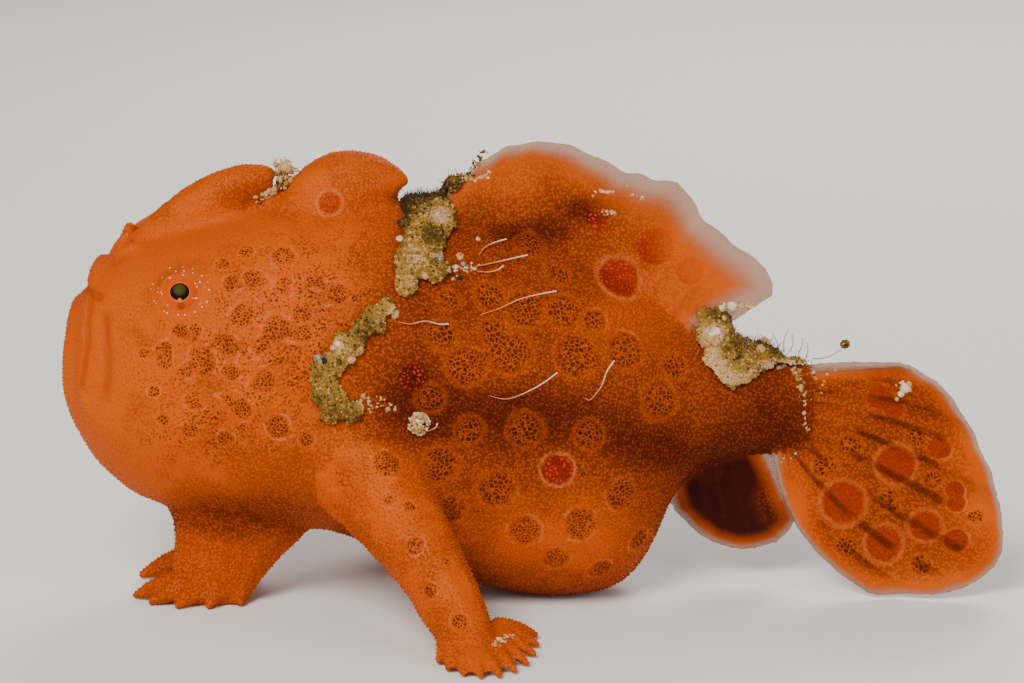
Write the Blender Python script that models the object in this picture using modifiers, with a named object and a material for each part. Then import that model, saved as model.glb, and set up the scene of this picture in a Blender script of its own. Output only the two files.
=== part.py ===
"""A painted frogfish at rest on its hand-like fins, at life size.

Metres, +Z up. The fish faces -X, its left side is -Y, and the floor is at z = 0. The origin is on the floor
below the middle of the fish. The flesh is one lofted form, parted with thin cuts into head, lower jaw, trunk
and tail stalk. Limbs, spines and fins are cut off flush where they meet it. A fin is a thin sheet whose rays
stand up in the sheet itself. The tables give millimetres, on a fish TABLE_LENGTH long.
"""

import math

import bmesh
import bpy
import numpy as np
from mathutils import Matrix, Vector, noise

# Driving dimensions
TOTAL_LENGTH = 0.090  # front of the chin to the edge of the tail fin
TABLE_LENGTH = 90
UNIT = TOTAL_LENGTH / TABLE_LENGTH  # one unit of the tables
GAP = 0.0003  # clear gap between neighbouring pieces
EYE_RADIUS = 2.15 * UNIT
MEMBRANE = 0.0006  # thickness of a fin's web at its margin
RAY_RELIEF = 0.0006  # how much thicker a fin is along a ray
WELD = 0.000002  # points closer than this become one

# Skin and other colours
ORANGE = (0.90, 0.22, 0.02)
RUST = (0.42, 0.09, 0.02)
PALE_ORANGE = (0.92, 0.34, 0.06)
CRUST_GOLD = (0.34, 0.25, 0.06)
BAIT_WHITE = (0.80, 0.74, 0.66)
EYE_DARK = (0.05, 0.03, 0.02)

# Cross-sections of the flesh from chin to tail: x, back line, level of the greatest width, belly line, half
# width, then how square the upper and the lower half are, where 2 is an ellipse
SECTIONS = (
    (-44.8, 25.2, 22.0, 19.4, 3.3, 2.0, 2.0),
    (-44.1, 27.4, 22.0, 17.7, 5.9, 2.1, 2.1),
    (-43.2, 29.2, 22.0, 16.0, 7.4, 2.2, 2.2),
    (-41.7, 31.6, 22.0, 13.5, 8.9, 2.3, 2.3),
    (-39.7, 33.4, 21.8, 11.5, 10.0, 2.4, 2.3),
    (-37.3, 34.6, 21.6, 9.8, 10.9, 2.4, 2.3),
    (-33.5, 35.9, 21.5, 8.7, 11.7, 2.4, 2.3),
    (-27.8, 37.3, 21.0, 7.8, 12.3, 2.3, 2.3),
    (-22.1, 38.0, 20.5, 7.0, 12.7, 2.2, 2.2),
    (-17.4, 38.2, 20.0, 5.8, 12.8, 2.1, 2.1),
    (-12.7, 38.2, 19.0, 3.7, 12.5, 2.0, 2.1),
    (-8.0, 37.6, 18.0, 1.7, 12.0, 1.9, 2.1),
    (-3.2, 36.5, 17.0, 0.3, 11.4, 1.9, 2.1),
    (2.4, 34.3, 16.0, -0.4, 10.6, 1.9, 2.1),
    (7.2, 31.9, 16.0, 0.3, 9.5, 1.9, 2.1),
    (10.1, 30.0, 16.5, 2.4, 8.1, 1.9, 2.0),
    (12.0, 28.6, 17.0, 6.0, 6.9, 1.9, 2.0),
    (13.4, 27.5, 17.5, 9.8, 6.0, 1.9, 2.0),
    (15.8, 25.8, 18.0, 12.5, 4.9, 1.9, 2.0),
    (19.6, 23.8, 18.4, 13.7, 3.8, 2.0, 2.0),
    (23.5, 22.8, 18.4, 14.0, 3.0, 2.0, 2.0),
    (26.4, 22.4, 18.2, 13.9, 2.2, 2.0, 2.0),
)
STEPS_PER_SECTION = 2
POINTS_PER_RING = 36

# Soft swellings on both sides: x, distance from the middle, height, spread, rise
SWELLINGS = (
    (-32.6, 9.2, 32.0, 2.2, 1.2),
    (-37.6, 10.0, 20.0, 2.6, 0.6),
    (-17.0, 12.0, 16.5, 3.6, 1.5),
    (2.0, 10.0, 8.0, 4.4, 0.8),
)

# Where the flesh is parted: x and z of a point on each cut, and the x and z of the cut's normal
NECK_CUT = ((-15.5, 22.0), (1.0, -0.2))
STALK_CUT = ((16.6, 18.0), (1.0, -0.15))
# The mouth line and the rear edge of the jaw from the side, from above the snout to below the throat
JAW_LINE = (
    (-42.4, 40.0), (-42.4, 30.4), (-42.8, 26.4), (-43.2, 22.4), (-42.2, 19.4), (-38.8, 15.8), (-35.2, 12.4),
    (-33.6, 0.0),
)
HALF_SIDE = 30  # half the depth of a cutter that passes right through the fish
FRONT = -60  # an x well before the chin
MOUTH_AXIS = 22.0  # height of the middle of the mouth
LIP_SWEEP = 112  # degrees from the top of the mouth to its corner
LIP_STEPS = 18
LIP_SUNK = 0.45  # share of a lip's radius that lies below the skin
LIP_TAPER = 0.3  # how much thinner a lip is at the corner
UPPER_LIP = (0.95, 1.15)  # distance behind the mouth line, radius
LOWER_LIP = (-0.85, 0.8)

NOSTRILS = ((-38.9, 1.9, 34.3, 0.8), (-40.9, 3.4, 32.0, 0.55))  # x, distance from the middle, z, radius
NOSTRIL_PIT = 0.45  # radius of a nostril's pit over that of its rim
GILL_PORE = (-6.6, 8.2, 0.95, 0.5)  # x, z, radius of the rim, radius of the pore
EYE_PLACE = (-32.85, 31.9)
EYE_AIM = (-0.12, -0.93, 0.34)
EYE_PROUD = 0.75  # how far the eye stands out of the skin

# The second and third spines of the back, buried in thick skin: x, z, radius
SECOND_SPINE = (
    (-37.8, 33.0, 1.8), (-34.5, 35.8, 2.4), (-30.9, 38.1, 2.7), (-27.6, 40.0, 2.2), (-25.6, 40.8, 1.5),
    (-24.9, 41.1, 1.0),
)
THIRD_SPINE = (
    (-24.7, 36.0, 2.5), (-22.5, 36.6, 3.2), (-20.2, 38.3, 3.9), (-17.5, 39.6, 4.1), (-14.9, 40.2, 3.2),
    (-13.0, 40.4, 1.7), (-12.0, 40.3, 0.6),
)
SPINE_FLATNESS = 0.82  # width over height

# The fishing rod lies back along the right of the second spine, and its bait lies behind the spine's tip
ROD = (
    (-40.8, 1.6, 30.6), (-39.8, 2.6, 33.5), (-37.4, 3.5, 35.5), (-34.0, 3.7, 37.3), (-30.4, 3.4, 38.9),
    (-27.4, 2.7, 40.1), (-25.4, 1.7, 40.7), (-24.3, 0.4, 40.9),
)
ROD_RADIUS = 0.36
BAIT_CENTRE = (-24.1, -0.1, 41.0)
BAIT_RADII = (1.3, 1.0, 0.9)
BAIT_FRONDS = 8
FROND_LENGTH = 1.7

# Fins from the side: first and last root, then the tip of each ray
DORSAL_ROOTS = ((-9.2, 36.2), (15.4, 24.6))
DORSAL_TIPS = (
    (-8.2, 39.7), (-6.1, 41.4), (-3.8, 43.0), (-1.2, 44.0), (1.8, 44.1), (5.2, 43.0), (8.6, 41.2),
    (11.4, 40.5), (13.7, 40.2), (16.0, 36.7), (19.1, 34.1), (22.1, 31.9), (22.8, 29.3),
)
ANAL_ROOTS = ((12.2, 12.6), (21.6, 15.4))
ANAL_TIPS = ((13.6, 7.4), (15.4, 5.5), (17.3, 3.9), (19.3, 3.3), (21.5, 3.2), (23.8, 3.9), (25.6, 6.4))
CAUDAL_ROOTS = ((24.2, 22.0), (22.9, 14.7))
CAUDAL_TIPS = (
    (34.5, 23.4), (38.2, 21.6), (40.9, 18.0), (42.8, 14.4), (44.1, 10.8), (45.0, 6.7), (44.3, 3.3),
    (41.6, 1.2), (37.2, 0.4), (32.2, 0.6),
)
# The angle at which the first and last ray leave the root, or None for straight rays, how far the fin's edge
# bends to the right, its thickness at the root, and how deep the web is notched between the tips, or below 0
# how far it bulges
DORSAL_FORM = (None, 0.0, 4.6, 0.004)
ANAL_FORM = (None, 3.0, 2.4, 0.004)
CAUDAL_FORM = ((5, -89), -3.4, 3.0, -0.006)
RAY_STEPS = 6
RAY_REACH = 0.56  # how far along a curved ray its first direction carries
WEB_COLUMNS = (0.22, 0.5, 0.78)  # where the web has points between two rays
RAY_FADE = 0.75  # how much of a ray's relief is gone at its tip
CURL = 1.7  # how late along a ray the fin bends aside
EDGE_RIPPLE = 0.3

# The left arm from inside the shoulder to the palm: x, y, z, radius
ARM = (
    (-17.8, -7.2, 17.6, 6.6), (-15.2, -10.6, 14.4, 5.6), (-12.2, -14.2, 10.8, 4.3), (-9.6, -17.2, 7.6, 3.5),
    (-7.8, -19.8, 5.0, 3.1), (-6.4, -21.2, 2.8, 2.7), (-5.4, -21.8, 1.4, 2.0),
)
WRIST_CUT = ((-8.6, -18.7, 6.1), (0.43, -0.62, -0.66))
KNUCKLES = ((-7.8, -21.6), (-3.4, -18.6))  # first and last, seen from above
FINGER_TIPS = (
    (-8.8, -22.9), (-7.9, -24.9), (-6.5, -26.3), (-4.9, -27.0), (-3.2, -26.7), (-1.8, -25.4), (-0.7, -23.4),
    (0.0, -20.8), (0.3, -18.0), (0.2, -15.2),
)
FINGER = (2.3, 1.15, 0.85, 0.42)  # height of a knuckle, radius at knuckle, joint and tip
JOINT = (0.55, 0.62)  # share of a finger at which its joint lies, share of the knuckle's height there
BLUNT_TIP = (0.6, 0.55)  # how far a limb runs on past its last joint, radius there, both over its last radius

# The left pelvic fin, whose leg is long from front to back
LEG = (
    (-27.8, -3.9, 13.0, 9.2), (-28.4, -3.8, 9.4, 7.9), (-29.2, -3.9, 6.4, 5.7), (-30.2, -4.2, 3.8, 4.6),
    (-31.0, -4.4, 1.6, 4.0),
)
LEG_FLATNESS = 0.4
TOE_ROOTS = ((-33.8, -4.0), (-28.6, -4.2))
TOE_TIPS = ((-38.3, -3.2), (-36.6, -5.3), (-34.0, -6.5), (-31.0, -6.6), (-28.0, -5.7))
TOE = (1.9, 1.5, 1.15, 0.5)
TIP_HEIGHT = 0.35  # height of the middle of a finger's tip, whose lower side is cut flat on the floor

# Crusts of algae and grit on the left of the skin, as bands: x, z and half width along the middle
NAPE_CRUST = (
    (-6.8, 41.2, 0.8), (-8.4, 39.8, 1.4), (-10.2, 38.8, 2.6), (-9.9, 36.4, 2.6), (-10.4, 34.4, 2.1),
    (-12.2, 32.2, 1.6),
)
SHOULDER_CRUST = (
    (-13.4, 30.5, 1.2), (-15.6, 28.8, 1.5), (-17.6, 27.2, 1.6), (-18.8, 25.0, 1.8), (-18.2, 22.8, 2.0),
    (-17.2, 21.4, 1.6),
)
STALK_CRUST = (
    (16.8, 26.8, 1.5), (17.8, 24.9, 2.5), (19.4, 24.1, 2.9), (21.4, 24.0, 2.4), (23.4, 23.6, 1.4),
    (25.2, 23.2, 1.1),
)
LUMPS_PER_STEP = 3
LUMP_SPREAD = 0.6  # how far from the band's middle lumps lie, over its half width
LUMP_RADIUS = (0.55, 0.85)  # least and greatest, over the band's half width
LUMP_SUNK = 0.35  # how much of a lump's radius lies below the skin
CRUST_GRAIN = 0.00042  # size of the grid on which lumps are fused
CRUST_ROUGHNESS = 0.00035
CRUST_TRIANGLES = 620
CRUST_SEED = 7

FISH = "painted_frogfish"
TOOLS = "tools"


def clear_scene():
    for obj in list(bpy.data.objects):
        bpy.data.objects.remove(obj, do_unlink=True)


def new_collection(name):
    collection = bpy.data.collections.new(name)
    bpy.context.scene.collection.children.link(collection)
    return collection


def new_material(name, colour, roughness):
    material = bpy.data.materials.new(name)
    material.use_nodes = True
    shader = material.node_tree.nodes["Principled BSDF"]
    shader.inputs["Base Color"].default_value = (*colour, 1)
    shader.inputs["Roughness"].default_value = roughness
    return material


def new_object(name, mesh):
    """An object in the tools' collection."""
    obj = bpy.data.objects.new(name, mesh)
    bpy.data.collections[TOOLS].objects.link(obj)
    return obj


def close_bmesh(bm, name):
    """Turns a closed bmesh into a mesh whose faces point out."""
    bmesh.ops.remove_doubles(bm, verts=bm.verts, dist=WELD)
    bmesh.ops.recalc_face_normals(bm, faces=bm.faces)
    mesh = bpy.data.meshes.new(name)
    bm.to_mesh(mesh)
    bm.free()
    return mesh


def remove(objects):
    for obj in objects:
        bpy.data.objects.remove(obj, do_unlink=True)


def settle(obj):
    """Applies an object's modifiers to its mesh."""
    bpy.context.view_layer.update()
    shaped = obj.evaluated_get(bpy.context.evaluated_depsgraph_get())
    mesh = bpy.data.meshes.new_from_object(shaped)
    obj.modifiers.clear()
    obj.data = mesh
    return obj


def keep_largest(obj):
    """Drops all but the largest closed surface of an object."""
    bm = bmesh.new()
    bm.from_mesh(obj.data)
    bmesh.ops.remove_doubles(bm, verts=bm.verts, dist=WELD)
    unseen = set(bm.faces)
    islands = []
    while unseen:
        island, edge = set(), [unseen.pop()]
        while edge:
            face = edge.pop()
            island.add(face)
            for loop in face.loops:
                for other in loop.edge.link_faces:
                    if other in unseen:
                        unseen.remove(other)
                        edge.append(other)
        islands.append(island)
    islands.sort(key=len)
    for island in islands[:-1]:
        bmesh.ops.delete(bm, geom=list(island), context="FACES")
    bm.to_mesh(obj.data)
    bm.free()
    return obj


def combine(obj, others, operation):
    """Joins other objects to this one, or cuts them from it, and removes them."""
    group = new_collection("group")
    for other in others:
        group.objects.link(other)
    boolean = obj.modifiers.new("combine", "BOOLEAN")
    boolean.operation = operation
    boolean.operand_type = "COLLECTION"
    boolean.collection = group
    # The exact solver leaves nothing of the spines and of some fins
    boolean.solver = "MANIFOLD"
    settle(obj)
    remove(others)
    bpy.data.collections.remove(group)
    return keep_largest(obj)


def duplicate(obj, name):
    return new_object(name, obj.data.copy())


def grown(obj):
    """A copy of an object that is fatter by the gap on every side."""
    copy = duplicate(obj, "grown")
    swell = copy.modifiers.new("swell", "DISPLACE")
    swell.mid_level = 0
    swell.strength = GAP
    return settle(copy)


def cut_off(obj, point, normal):
    """Cuts away what lies beyond a plane, on the side that its normal points to, and closes the cut."""
    bm = bmesh.new()
    bm.from_mesh(obj.data)
    geometry = list(bm.verts) + list(bm.edges) + list(bm.faces)
    bmesh.ops.bisect_plane(
        bm, geom=geometry, plane_co=point, plane_no=normal, clear_outer=True, dist=WELD / 2
    )
    rim = [edge for edge in bm.edges if edge.is_boundary]
    bmesh.ops.holes_fill(bm, edges=rim, sides=0)
    name = obj.data.name
    obj.data = close_bmesh(bm, name)
    return obj


def part(obj, name, point, normal):
    """Parts an object at a plane. What lies beyond is returned as a new object, a gap away."""
    point = Vector(point)
    normal = Vector(normal).normalized()
    beyond = duplicate(obj, name)
    cut_off(obj, point - normal * GAP / 2, normal)
    cut_off(beyond, point + normal * GAP / 2, -normal)
    return beyond


def mirrored(obj, name):
    """A copy of an object on the other side of the fish."""
    copy = duplicate(obj, name)
    copy.data.transform(Matrix.Scale(-1, 4, (0, 1, 0)))
    copy.data.flip_normals()
    return copy


def smooth_line(points, steps):
    """Points on a smooth line through the given ones, with so many steps between neighbours."""
    points = np.array(points, float)
    padded = np.vstack([2 * points[0] - points[1], points, 2 * points[-1] - points[-2]])
    line = []
    for i in range(len(points) - 1):
        before, start, end, after = padded[i : i + 4]
        for t in np.arange(steps) / steps:
            bend = (2 * before - 5 * start + 4 * end - after) * t**2
            twist = (3 * start - before - 3 * end + after) * t**3
            line.append((2 * start + (end - before) * t + bend + twist) / 2)
    line.append(points[-1])
    return np.array(line)


def superellipse(angle, square):
    """How far up and out a section's edge lies at an angle from its top, as shares of height and width."""
    up, out = math.cos(angle), math.sin(angle)
    power = 2 / square
    return math.copysign(abs(up) ** power, up), math.copysign(abs(out) ** power, out)


def section_ring(section):
    """One cross-section of the flesh, from the back round by the right side."""
    x, back, level, belly, half, square_above, square_below = section
    ring = []
    for k in range(POINTS_PER_RING):
        angle = 2 * math.pi * k / POINTS_PER_RING
        above = math.cos(angle) >= 0
        up, out = superellipse(angle, square_above if above else square_below)
        height = back - level if above else level - belly
        ring.append(swollen(Vector((x, half * out, level + height * up))))
    return ring


def swollen(point):
    """Moves a point of the skin out where a swelling lies."""
    outward = Vector((0, point.y, (point.z - MOUTH_AXIS) / 2)).normalized()
    rise = 0.0
    for x, side, z, spread, height in SWELLINGS:
        distance = (point.x - x) ** 2 + (abs(point.y) - side) ** 2 + (point.z - z) ** 2
        rise += height * math.exp(-distance / (2 * spread**2))
    return point + outward * rise


def loft(name, rings):
    """A closed form through rings with the same number of points."""
    bm = bmesh.new()
    layers = [[bm.verts.new(point * UNIT) for point in ring] for ring in rings]
    for ring, following in zip(layers, layers[1:]):
        for k in range(len(ring)):
            bm.faces.new((ring[k - 1], ring[k], following[k], following[k - 1]))
    for ring in (layers[0], layers[-1]):
        middle = bm.verts.new(sum((vert.co for vert in ring), Vector()) / len(ring))
        for k in range(len(ring)):
            bm.faces.new((ring[k - 1], ring[k], middle))
    return new_object(name, close_bmesh(bm, name))


def tube(name, path, sides=8, flatness=1.0):
    """A round-ended limb along points x, y, z and radius, flattened from side to side."""
    data = bpy.data.curves.new(name, "CURVE")
    data.dimensions = "3D"
    data.bevel_depth = UNIT
    data.bevel_resolution = sides // 4 - 1
    data.use_fill_caps = True
    spline = data.splines.new("POLY")
    spline.points.add(len(path) - 1)
    for point, (x, y, z, radius) in zip(spline.points, path):
        point.co = (x * UNIT, y / flatness * UNIT, z * UNIT, 1)
        point.radius = radius
    curve = new_object(name, data)
    bpy.context.view_layer.update()
    shaped = curve.evaluated_get(bpy.context.evaluated_depsgraph_get())
    bm = bmesh.new()
    bm.from_mesh(bpy.data.meshes.new_from_object(shaped))
    bmesh.ops.transform(bm, verts=bm.verts, matrix=Matrix.Scale(flatness, 4, (0, 1, 0)))
    mesh = close_bmesh(bm, name)
    remove([curve])
    return new_object(name, mesh)


def limb(name, joints, steps, sides=8, flatness=1.0):
    """A tube that bends smoothly through its joints and closes to a blunt tip."""
    line = smooth_line(joints, steps)
    ahead = line[-1, :3] - line[-2, :3]
    ahead /= np.linalg.norm(ahead)
    radius = line[-1, 3]
    further, slimmer = BLUNT_TIP
    tip = np.append(line[-1, :3] + ahead * radius * further, radius * slimmer)
    return tube(name, np.vstack([line, tip]), sides, flatness)


def ball(name, centre, radii, subdivisions=2):
    """A closed ball of small triangles with three radii, in table units."""
    bm = bmesh.new()
    bmesh.ops.create_icosphere(bm, subdivisions=subdivisions, radius=1)
    place = Matrix.Translation(Vector(centre) * UNIT) @ Matrix.Diagonal((*(r * UNIT for r in radii), 1))
    bmesh.ops.transform(bm, verts=bm.verts, matrix=place)
    return new_object(name, close_bmesh(bm, name))


def side_prism(name, outline):
    """A block whose outline is seen from the side, in table units."""
    bm = bmesh.new()
    near = [bm.verts.new(Vector((x, -HALF_SIDE, z)) * UNIT) for x, z in outline]
    face = bm.faces.new(near)
    raised = bmesh.ops.extrude_face_region(bm, geom=[face])["geom"]
    far = [item for item in raised if isinstance(item, bmesh.types.BMVert)]
    bmesh.ops.translate(bm, verts=far, vec=(0, 2 * HALF_SIDE * UNIT, 0))
    return new_object(name, close_bmesh(bm, name))


def jaw_line_x(z):
    """Where the mouth line lies at a height."""
    line = sorted((height, x) for x, height in JAW_LINE)
    return float(np.interp(z, [height for height, _ in line], [x for _, x in line]))


def skin_from(flesh, origin, direction):
    """The point of the skin that a straight line meets first."""
    hit, place, _, _ = flesh.ray_cast(Vector(origin) * UNIT, Vector(direction))
    if not hit:
        raise ValueError(f"no skin from {origin} along {direction}")
    return place / UNIT


def left_skin(flesh, x, z):
    return skin_from(flesh, (x, -HALF_SIDE, z), (0, 1, 0))


def lip(name, flesh, behind, radius):
    """A soft roll beside the mouth line, round the front of the mouth and down to both corners."""
    path = []
    for angle in np.radians(np.linspace(-LIP_SWEEP, LIP_SWEEP, LIP_STEPS + 1)):
        direction = (0, math.sin(angle), math.cos(angle))
        x = jaw_line_x(MOUTH_AXIS) + behind
        for _ in range(3):
            place = skin_from(flesh, (x, 0, MOUTH_AXIS), direction)
            x = jaw_line_x(place.z) + behind
        inward = Vector(direction) * radius * LIP_SUNK
        slimmer = 1 - LIP_TAPER * abs(angle) / math.radians(LIP_SWEEP)
        path.append((*(Vector((x, place.y, place.z)) - inward), radius * slimmer))
    return tube(name, path)


def make_flesh():
    """Head, trunk and stalk as one form, with lips, nostrils, gill pores and eye sockets."""
    flesh = loft("flesh", [section_ring(s) for s in smooth_line(SECTIONS, STEPS_PER_SECTION)])
    plain = duplicate(flesh, "plain")
    bpy.context.view_layer.update()
    added = [lip("upper_lip", plain, *UPPER_LIP), lip("lower_lip", plain, *LOWER_LIP)]
    rims, pits = [], []
    for x, side, z, radius in NOSTRILS:
        rims.append(ball("nostril", (x, -side, z), [radius] * 3))
        pits.append(ball("pit", (x - 0.3 * radius, -side, z + radius), [radius * NOSTRIL_PIT] * 3, 1))
    x, z, rim, pore = GILL_PORE
    place = left_skin(plain, x, z)
    rims.append(ball("gill_rim", place, (rim, rim * 0.5, rim)))
    pits.append(ball("gill_pore", place - Vector((0, rim * 0.4, 0)), (pore, rim, pore)))
    rims += [mirrored(rim, "rim") for rim in rims]
    pits += [mirrored(pit, "pit") for pit in pits]
    eyes = make_eyes(plain)
    remove([plain])
    combine(flesh, added + rims, "UNION")
    combine(flesh, pits + [grown(eye) for eye in eyes], "DIFFERENCE")
    return flesh, eyes


def make_eyes(skin):
    place = left_skin(skin, *EYE_PLACE)
    aim = Vector(EYE_AIM).normalized()
    radius = EYE_RADIUS / UNIT
    left = ball("eye_left", place + aim * (EYE_PROUD - radius), [radius] * 3, 3)
    return left, mirrored(left, "eye_right")


def offset_line(line, distance):
    """The same line, moved to its left side as it runs."""
    points = [Vector(point) for point in line]
    moved = []
    for i, point in enumerate(points):
        ahead = (points[min(i + 1, len(points) - 1)] - points[max(i - 1, 0)]).normalized()
        moved.append(point + Vector((-ahead.y, ahead.x)) * distance)
    return moved


def split_flesh(flesh):
    """Parts the flesh into jaw, head, trunk and stalk."""
    half_gap = GAP / UNIT / 2
    blocks = []
    for distance in (-half_gap, half_gap):
        line = offset_line(JAW_LINE, distance)
        blocks.append(side_prism("jaw_block", [(FRONT, line[0].y), *line, (FRONT, line[-1].y)]))
    jaw = duplicate(flesh, "lower_jaw")
    combine(jaw, blocks[:1], "INTERSECT")
    combine(flesh, blocks[1:], "DIFFERENCE")
    pieces = {"lower_jaw": jaw, "head": flesh}
    for name, body, (point, (nx, nz)) in (("trunk", "head", NECK_CUT), ("tail_stalk", "trunk", STALK_CUT)):
        pieces[name] = part(pieces[body], name, Vector((point[0], 0, point[1])) * UNIT, (nx, 0, nz))
    cut_off(pieces["trunk"], (0, 0, 0), (0, 0, -1))
    return pieces


def make_spine(name, path, hosts):
    joints = [(x, 0, z, radius) for x, z, radius in path]
    spine = limb(name, joints, 3, 12, SPINE_FLATNESS)
    return combine(spine, [grown(host) for host in hosts], "DIFFERENCE")


def make_lure(skin, spines):
    """The rod and its bait of short fronds."""
    rod = tube("lure", [(*point, ROD_RADIUS) for point in smooth_line(ROD, 3)])
    centre = Vector(BAIT_CENTRE)
    pieces = [ball("bait", centre, BAIT_RADII)]
    for k in range(BAIT_FRONDS):
        around = 2 * math.pi * (k + 0.5) / BAIT_FRONDS
        direction = Vector((math.cos(around), 0.8 * math.sin(around), 0.25 * math.cos(3 * around)))
        tip = centre + direction * FROND_LENGTH * (1 + 0.15 * math.sin(5 * around))
        pieces.append(tube("frond", [(*centre, 0.5), (*centre.lerp(tip, 0.6), 0.42), (*tip, 0.27)]))
    combine(rod, pieces, "UNION")
    return combine(rod, [grown(skin), *(grown(spine) for spine in spines)], "DIFFERENCE")


def ray_line(root, tip, angle):
    """Points of a ray from root to tip that leaves the root at an angle, or straight for none."""
    root, tip = Vector(root), Vector(tip)
    control = root.lerp(tip, 0.5)
    if angle is not None:
        reach = (tip - root).length * RAY_REACH
        control = root + Vector((math.cos(angle), math.sin(angle))) * reach
    shares = np.linspace(0, 1, RAY_STEPS + 1)
    return [root.lerp(control, t).lerp(control.lerp(tip, t), t) for t in shares]


def on_ray(ray, share):
    """The point at a share of a ray's length."""
    place = min(share, 1) * (len(ray) - 1)
    i = min(int(place), len(ray) - 2)
    return ray[i].lerp(ray[i + 1], place - i)


def make_fin(name, roots, tips, form, hosts):
    """A sheet with a ridge along each ray, thick at the root and notched between the tips."""
    angles, swing, root_thickness, notch = form
    first, last = Vector(roots[0]), Vector(roots[1])
    rays = []
    for k, tip in enumerate(tips):
        share = k / (len(tips) - 1)
        angle = None
        if angles:
            angle = math.radians(angles[0] + (angles[1] - angles[0]) * share**CURL)
        rays.append(ray_line(first.lerp(last, share), tip, angle))
    columns = []
    for k in range(len(rays)):
        columns.append((k, k, 0.0))
        if k < len(rays) - 1:
            columns += [(k, k + 1, blend) for blend in WEB_COLUMNS]
    thickest = root_thickness * UNIT + RAY_RELIEF
    bm = bmesh.new()
    weights = bm.verts.layers.deform.verify()
    grid = []
    for k, j, blend in columns:
        hollow = math.sin(math.pi * blend)
        grid.append([])
        for share in np.linspace(0, 1, RAY_STEPS + 1):
            reach = share * (1 - notch * hollow)
            place = on_ray(rays[k], reach).lerp(on_ray(rays[j], reach), blend)
            ripple = EDGE_RIPPLE * share**2 * math.sin(math.pi * (k + blend))
            side = swing * share**CURL + ripple
            vert = bm.verts.new(Vector((place.x, side, place.y)) * UNIT)
            web = MEMBRANE + (root_thickness * UNIT - MEMBRANE) * (1 - share) ** 2
            ridge = RAY_RELIEF * (1 - RAY_FADE * share) if blend == 0 else 0
            vert[weights][0] = (web + ridge) / thickest
            grid[-1].append(vert)
    for column, following in zip(grid, grid[1:]):
        for i in range(RAY_STEPS):
            bm.faces.new((column[i], column[i + 1], following[i + 1], following[i]))
    bmesh.ops.triangulate(bm, faces=bm.faces)
    mesh = bpy.data.meshes.new(name)
    bm.to_mesh(mesh)
    bm.free()
    fin = new_object(name, mesh)
    fin.vertex_groups.new(name="thickness")
    solidify = fin.modifiers.new("solidify", "SOLIDIFY")
    solidify.thickness = thickest
    solidify.offset = 0
    solidify.vertex_group = "thickness"
    settle(fin)
    fin.vertex_groups.clear()
    return combine(fin, [grown(host) for host in hosts], "DIFFERENCE")


def fan(name, roots, tips, form):
    """Fingers or toes from a row of knuckles down to their tips on the floor."""
    height, knuckle, joint, end = form
    first, last = Vector(roots[0]), Vector(roots[1])
    share, lower = JOINT
    fingers = []
    for k, tip in enumerate(tips):
        root = first.lerp(last, k / (len(tips) - 1))
        middle = root.lerp(Vector(tip), share)
        joints = [
            (*root, height, knuckle), (*middle, height * lower, joint), (*tip, TIP_HEIGHT, end),
        ]
        fingers.append(limb(name, joints, 2))
    return fingers


def make_arm(skin):
    """The left arm, from the skin to the wrist, and its hand."""
    arm = limb("pectoral_arm_left", ARM, 2, 16)
    combine(arm, [grown(skin)], "DIFFERENCE")
    point, normal = WRIST_CUT
    hand = part(arm, "pectoral_hand_left", Vector(point) * UNIT, normal)
    combine(hand, fan("finger", KNUCKLES, FINGER_TIPS, FINGER), "UNION")
    return arm, cut_off(hand, (0, 0, 0), (0, 0, -1))


def make_leg(skin):
    """The left pelvic fin."""
    leg = limb("pelvic_fin_left", LEG, 2, 16, LEG_FLATNESS)
    combine(leg, fan("toe", TOE_ROOTS, TOE_TIPS, TOE), "UNION")
    combine(leg, [grown(skin)], "DIFFERENCE")
    return cut_off(leg, (0, 0, 0), (0, 0, -1))


def skin_near(hosts, x, z):
    """The outermost point of the hosts on the left side at a place, or the highest below it."""
    found = []
    for host in hosts:
        for origin, direction in (((x, -HALF_SIDE, z), (0, 1, 0)), ((x, 0, 2 * HALF_SIDE), (0, 0, -1))):
            hit, place, normal, _ = host.ray_cast(Vector(origin) * UNIT, Vector(direction))
            if hit:
                found.append((place / UNIT, normal))
    return min(found, key=lambda item: abs(item[0].z - z))


def make_crust(name, band, hosts, draw):
    """Lumps of growth fused to one crust that lies on the skin and on what else it covers."""
    lumps = []
    for x, z, half_width in smooth_line(band, LUMPS_PER_STEP):
        for _ in range(LUMPS_PER_STEP):
            aside, along = draw.uniform(-half_width, half_width, 2) * LUMP_SPREAD
            place, normal = skin_near(hosts, x + aside, z + along)
            radius = half_width * draw.uniform(*LUMP_RADIUS)
            lumps.append(ball("lump", place - normal * radius * LUMP_SUNK, [radius] * 3))
    crust = lumps.pop(0)
    crust.name = name
    combine(crust, lumps, "UNION")
    fuse = crust.modifiers.new("fuse", "REMESH")
    fuse.mode = "VOXEL"
    fuse.voxel_size = CRUST_GRAIN
    settle(crust)
    for vert in crust.data.vertices:
        vert.co += vert.normal * noise.noise(vert.co / CRUST_GRAIN / 3) * CRUST_ROUGHNESS
    thin = crust.modifiers.new("thin", "DECIMATE")
    thin.ratio = CRUST_TRIANGLES / 2 / len(crust.data.polygons)
    settle(crust)
    return combine(crust, [grown(host) for host in hosts], "DIFFERENCE")


def dress(obj, material):
    """Puts a finished piece in the fish's collection, with its finish."""
    bpy.data.collections[TOOLS].objects.unlink(obj)
    bpy.data.collections[FISH].objects.link(obj)
    obj.data.name = obj.name
    obj.data.materials.clear()
    obj.data.materials.append(material)
    obj.data.shade_smooth()
    obj.data.set_sharp_from_angle(angle=math.radians(40))


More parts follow.
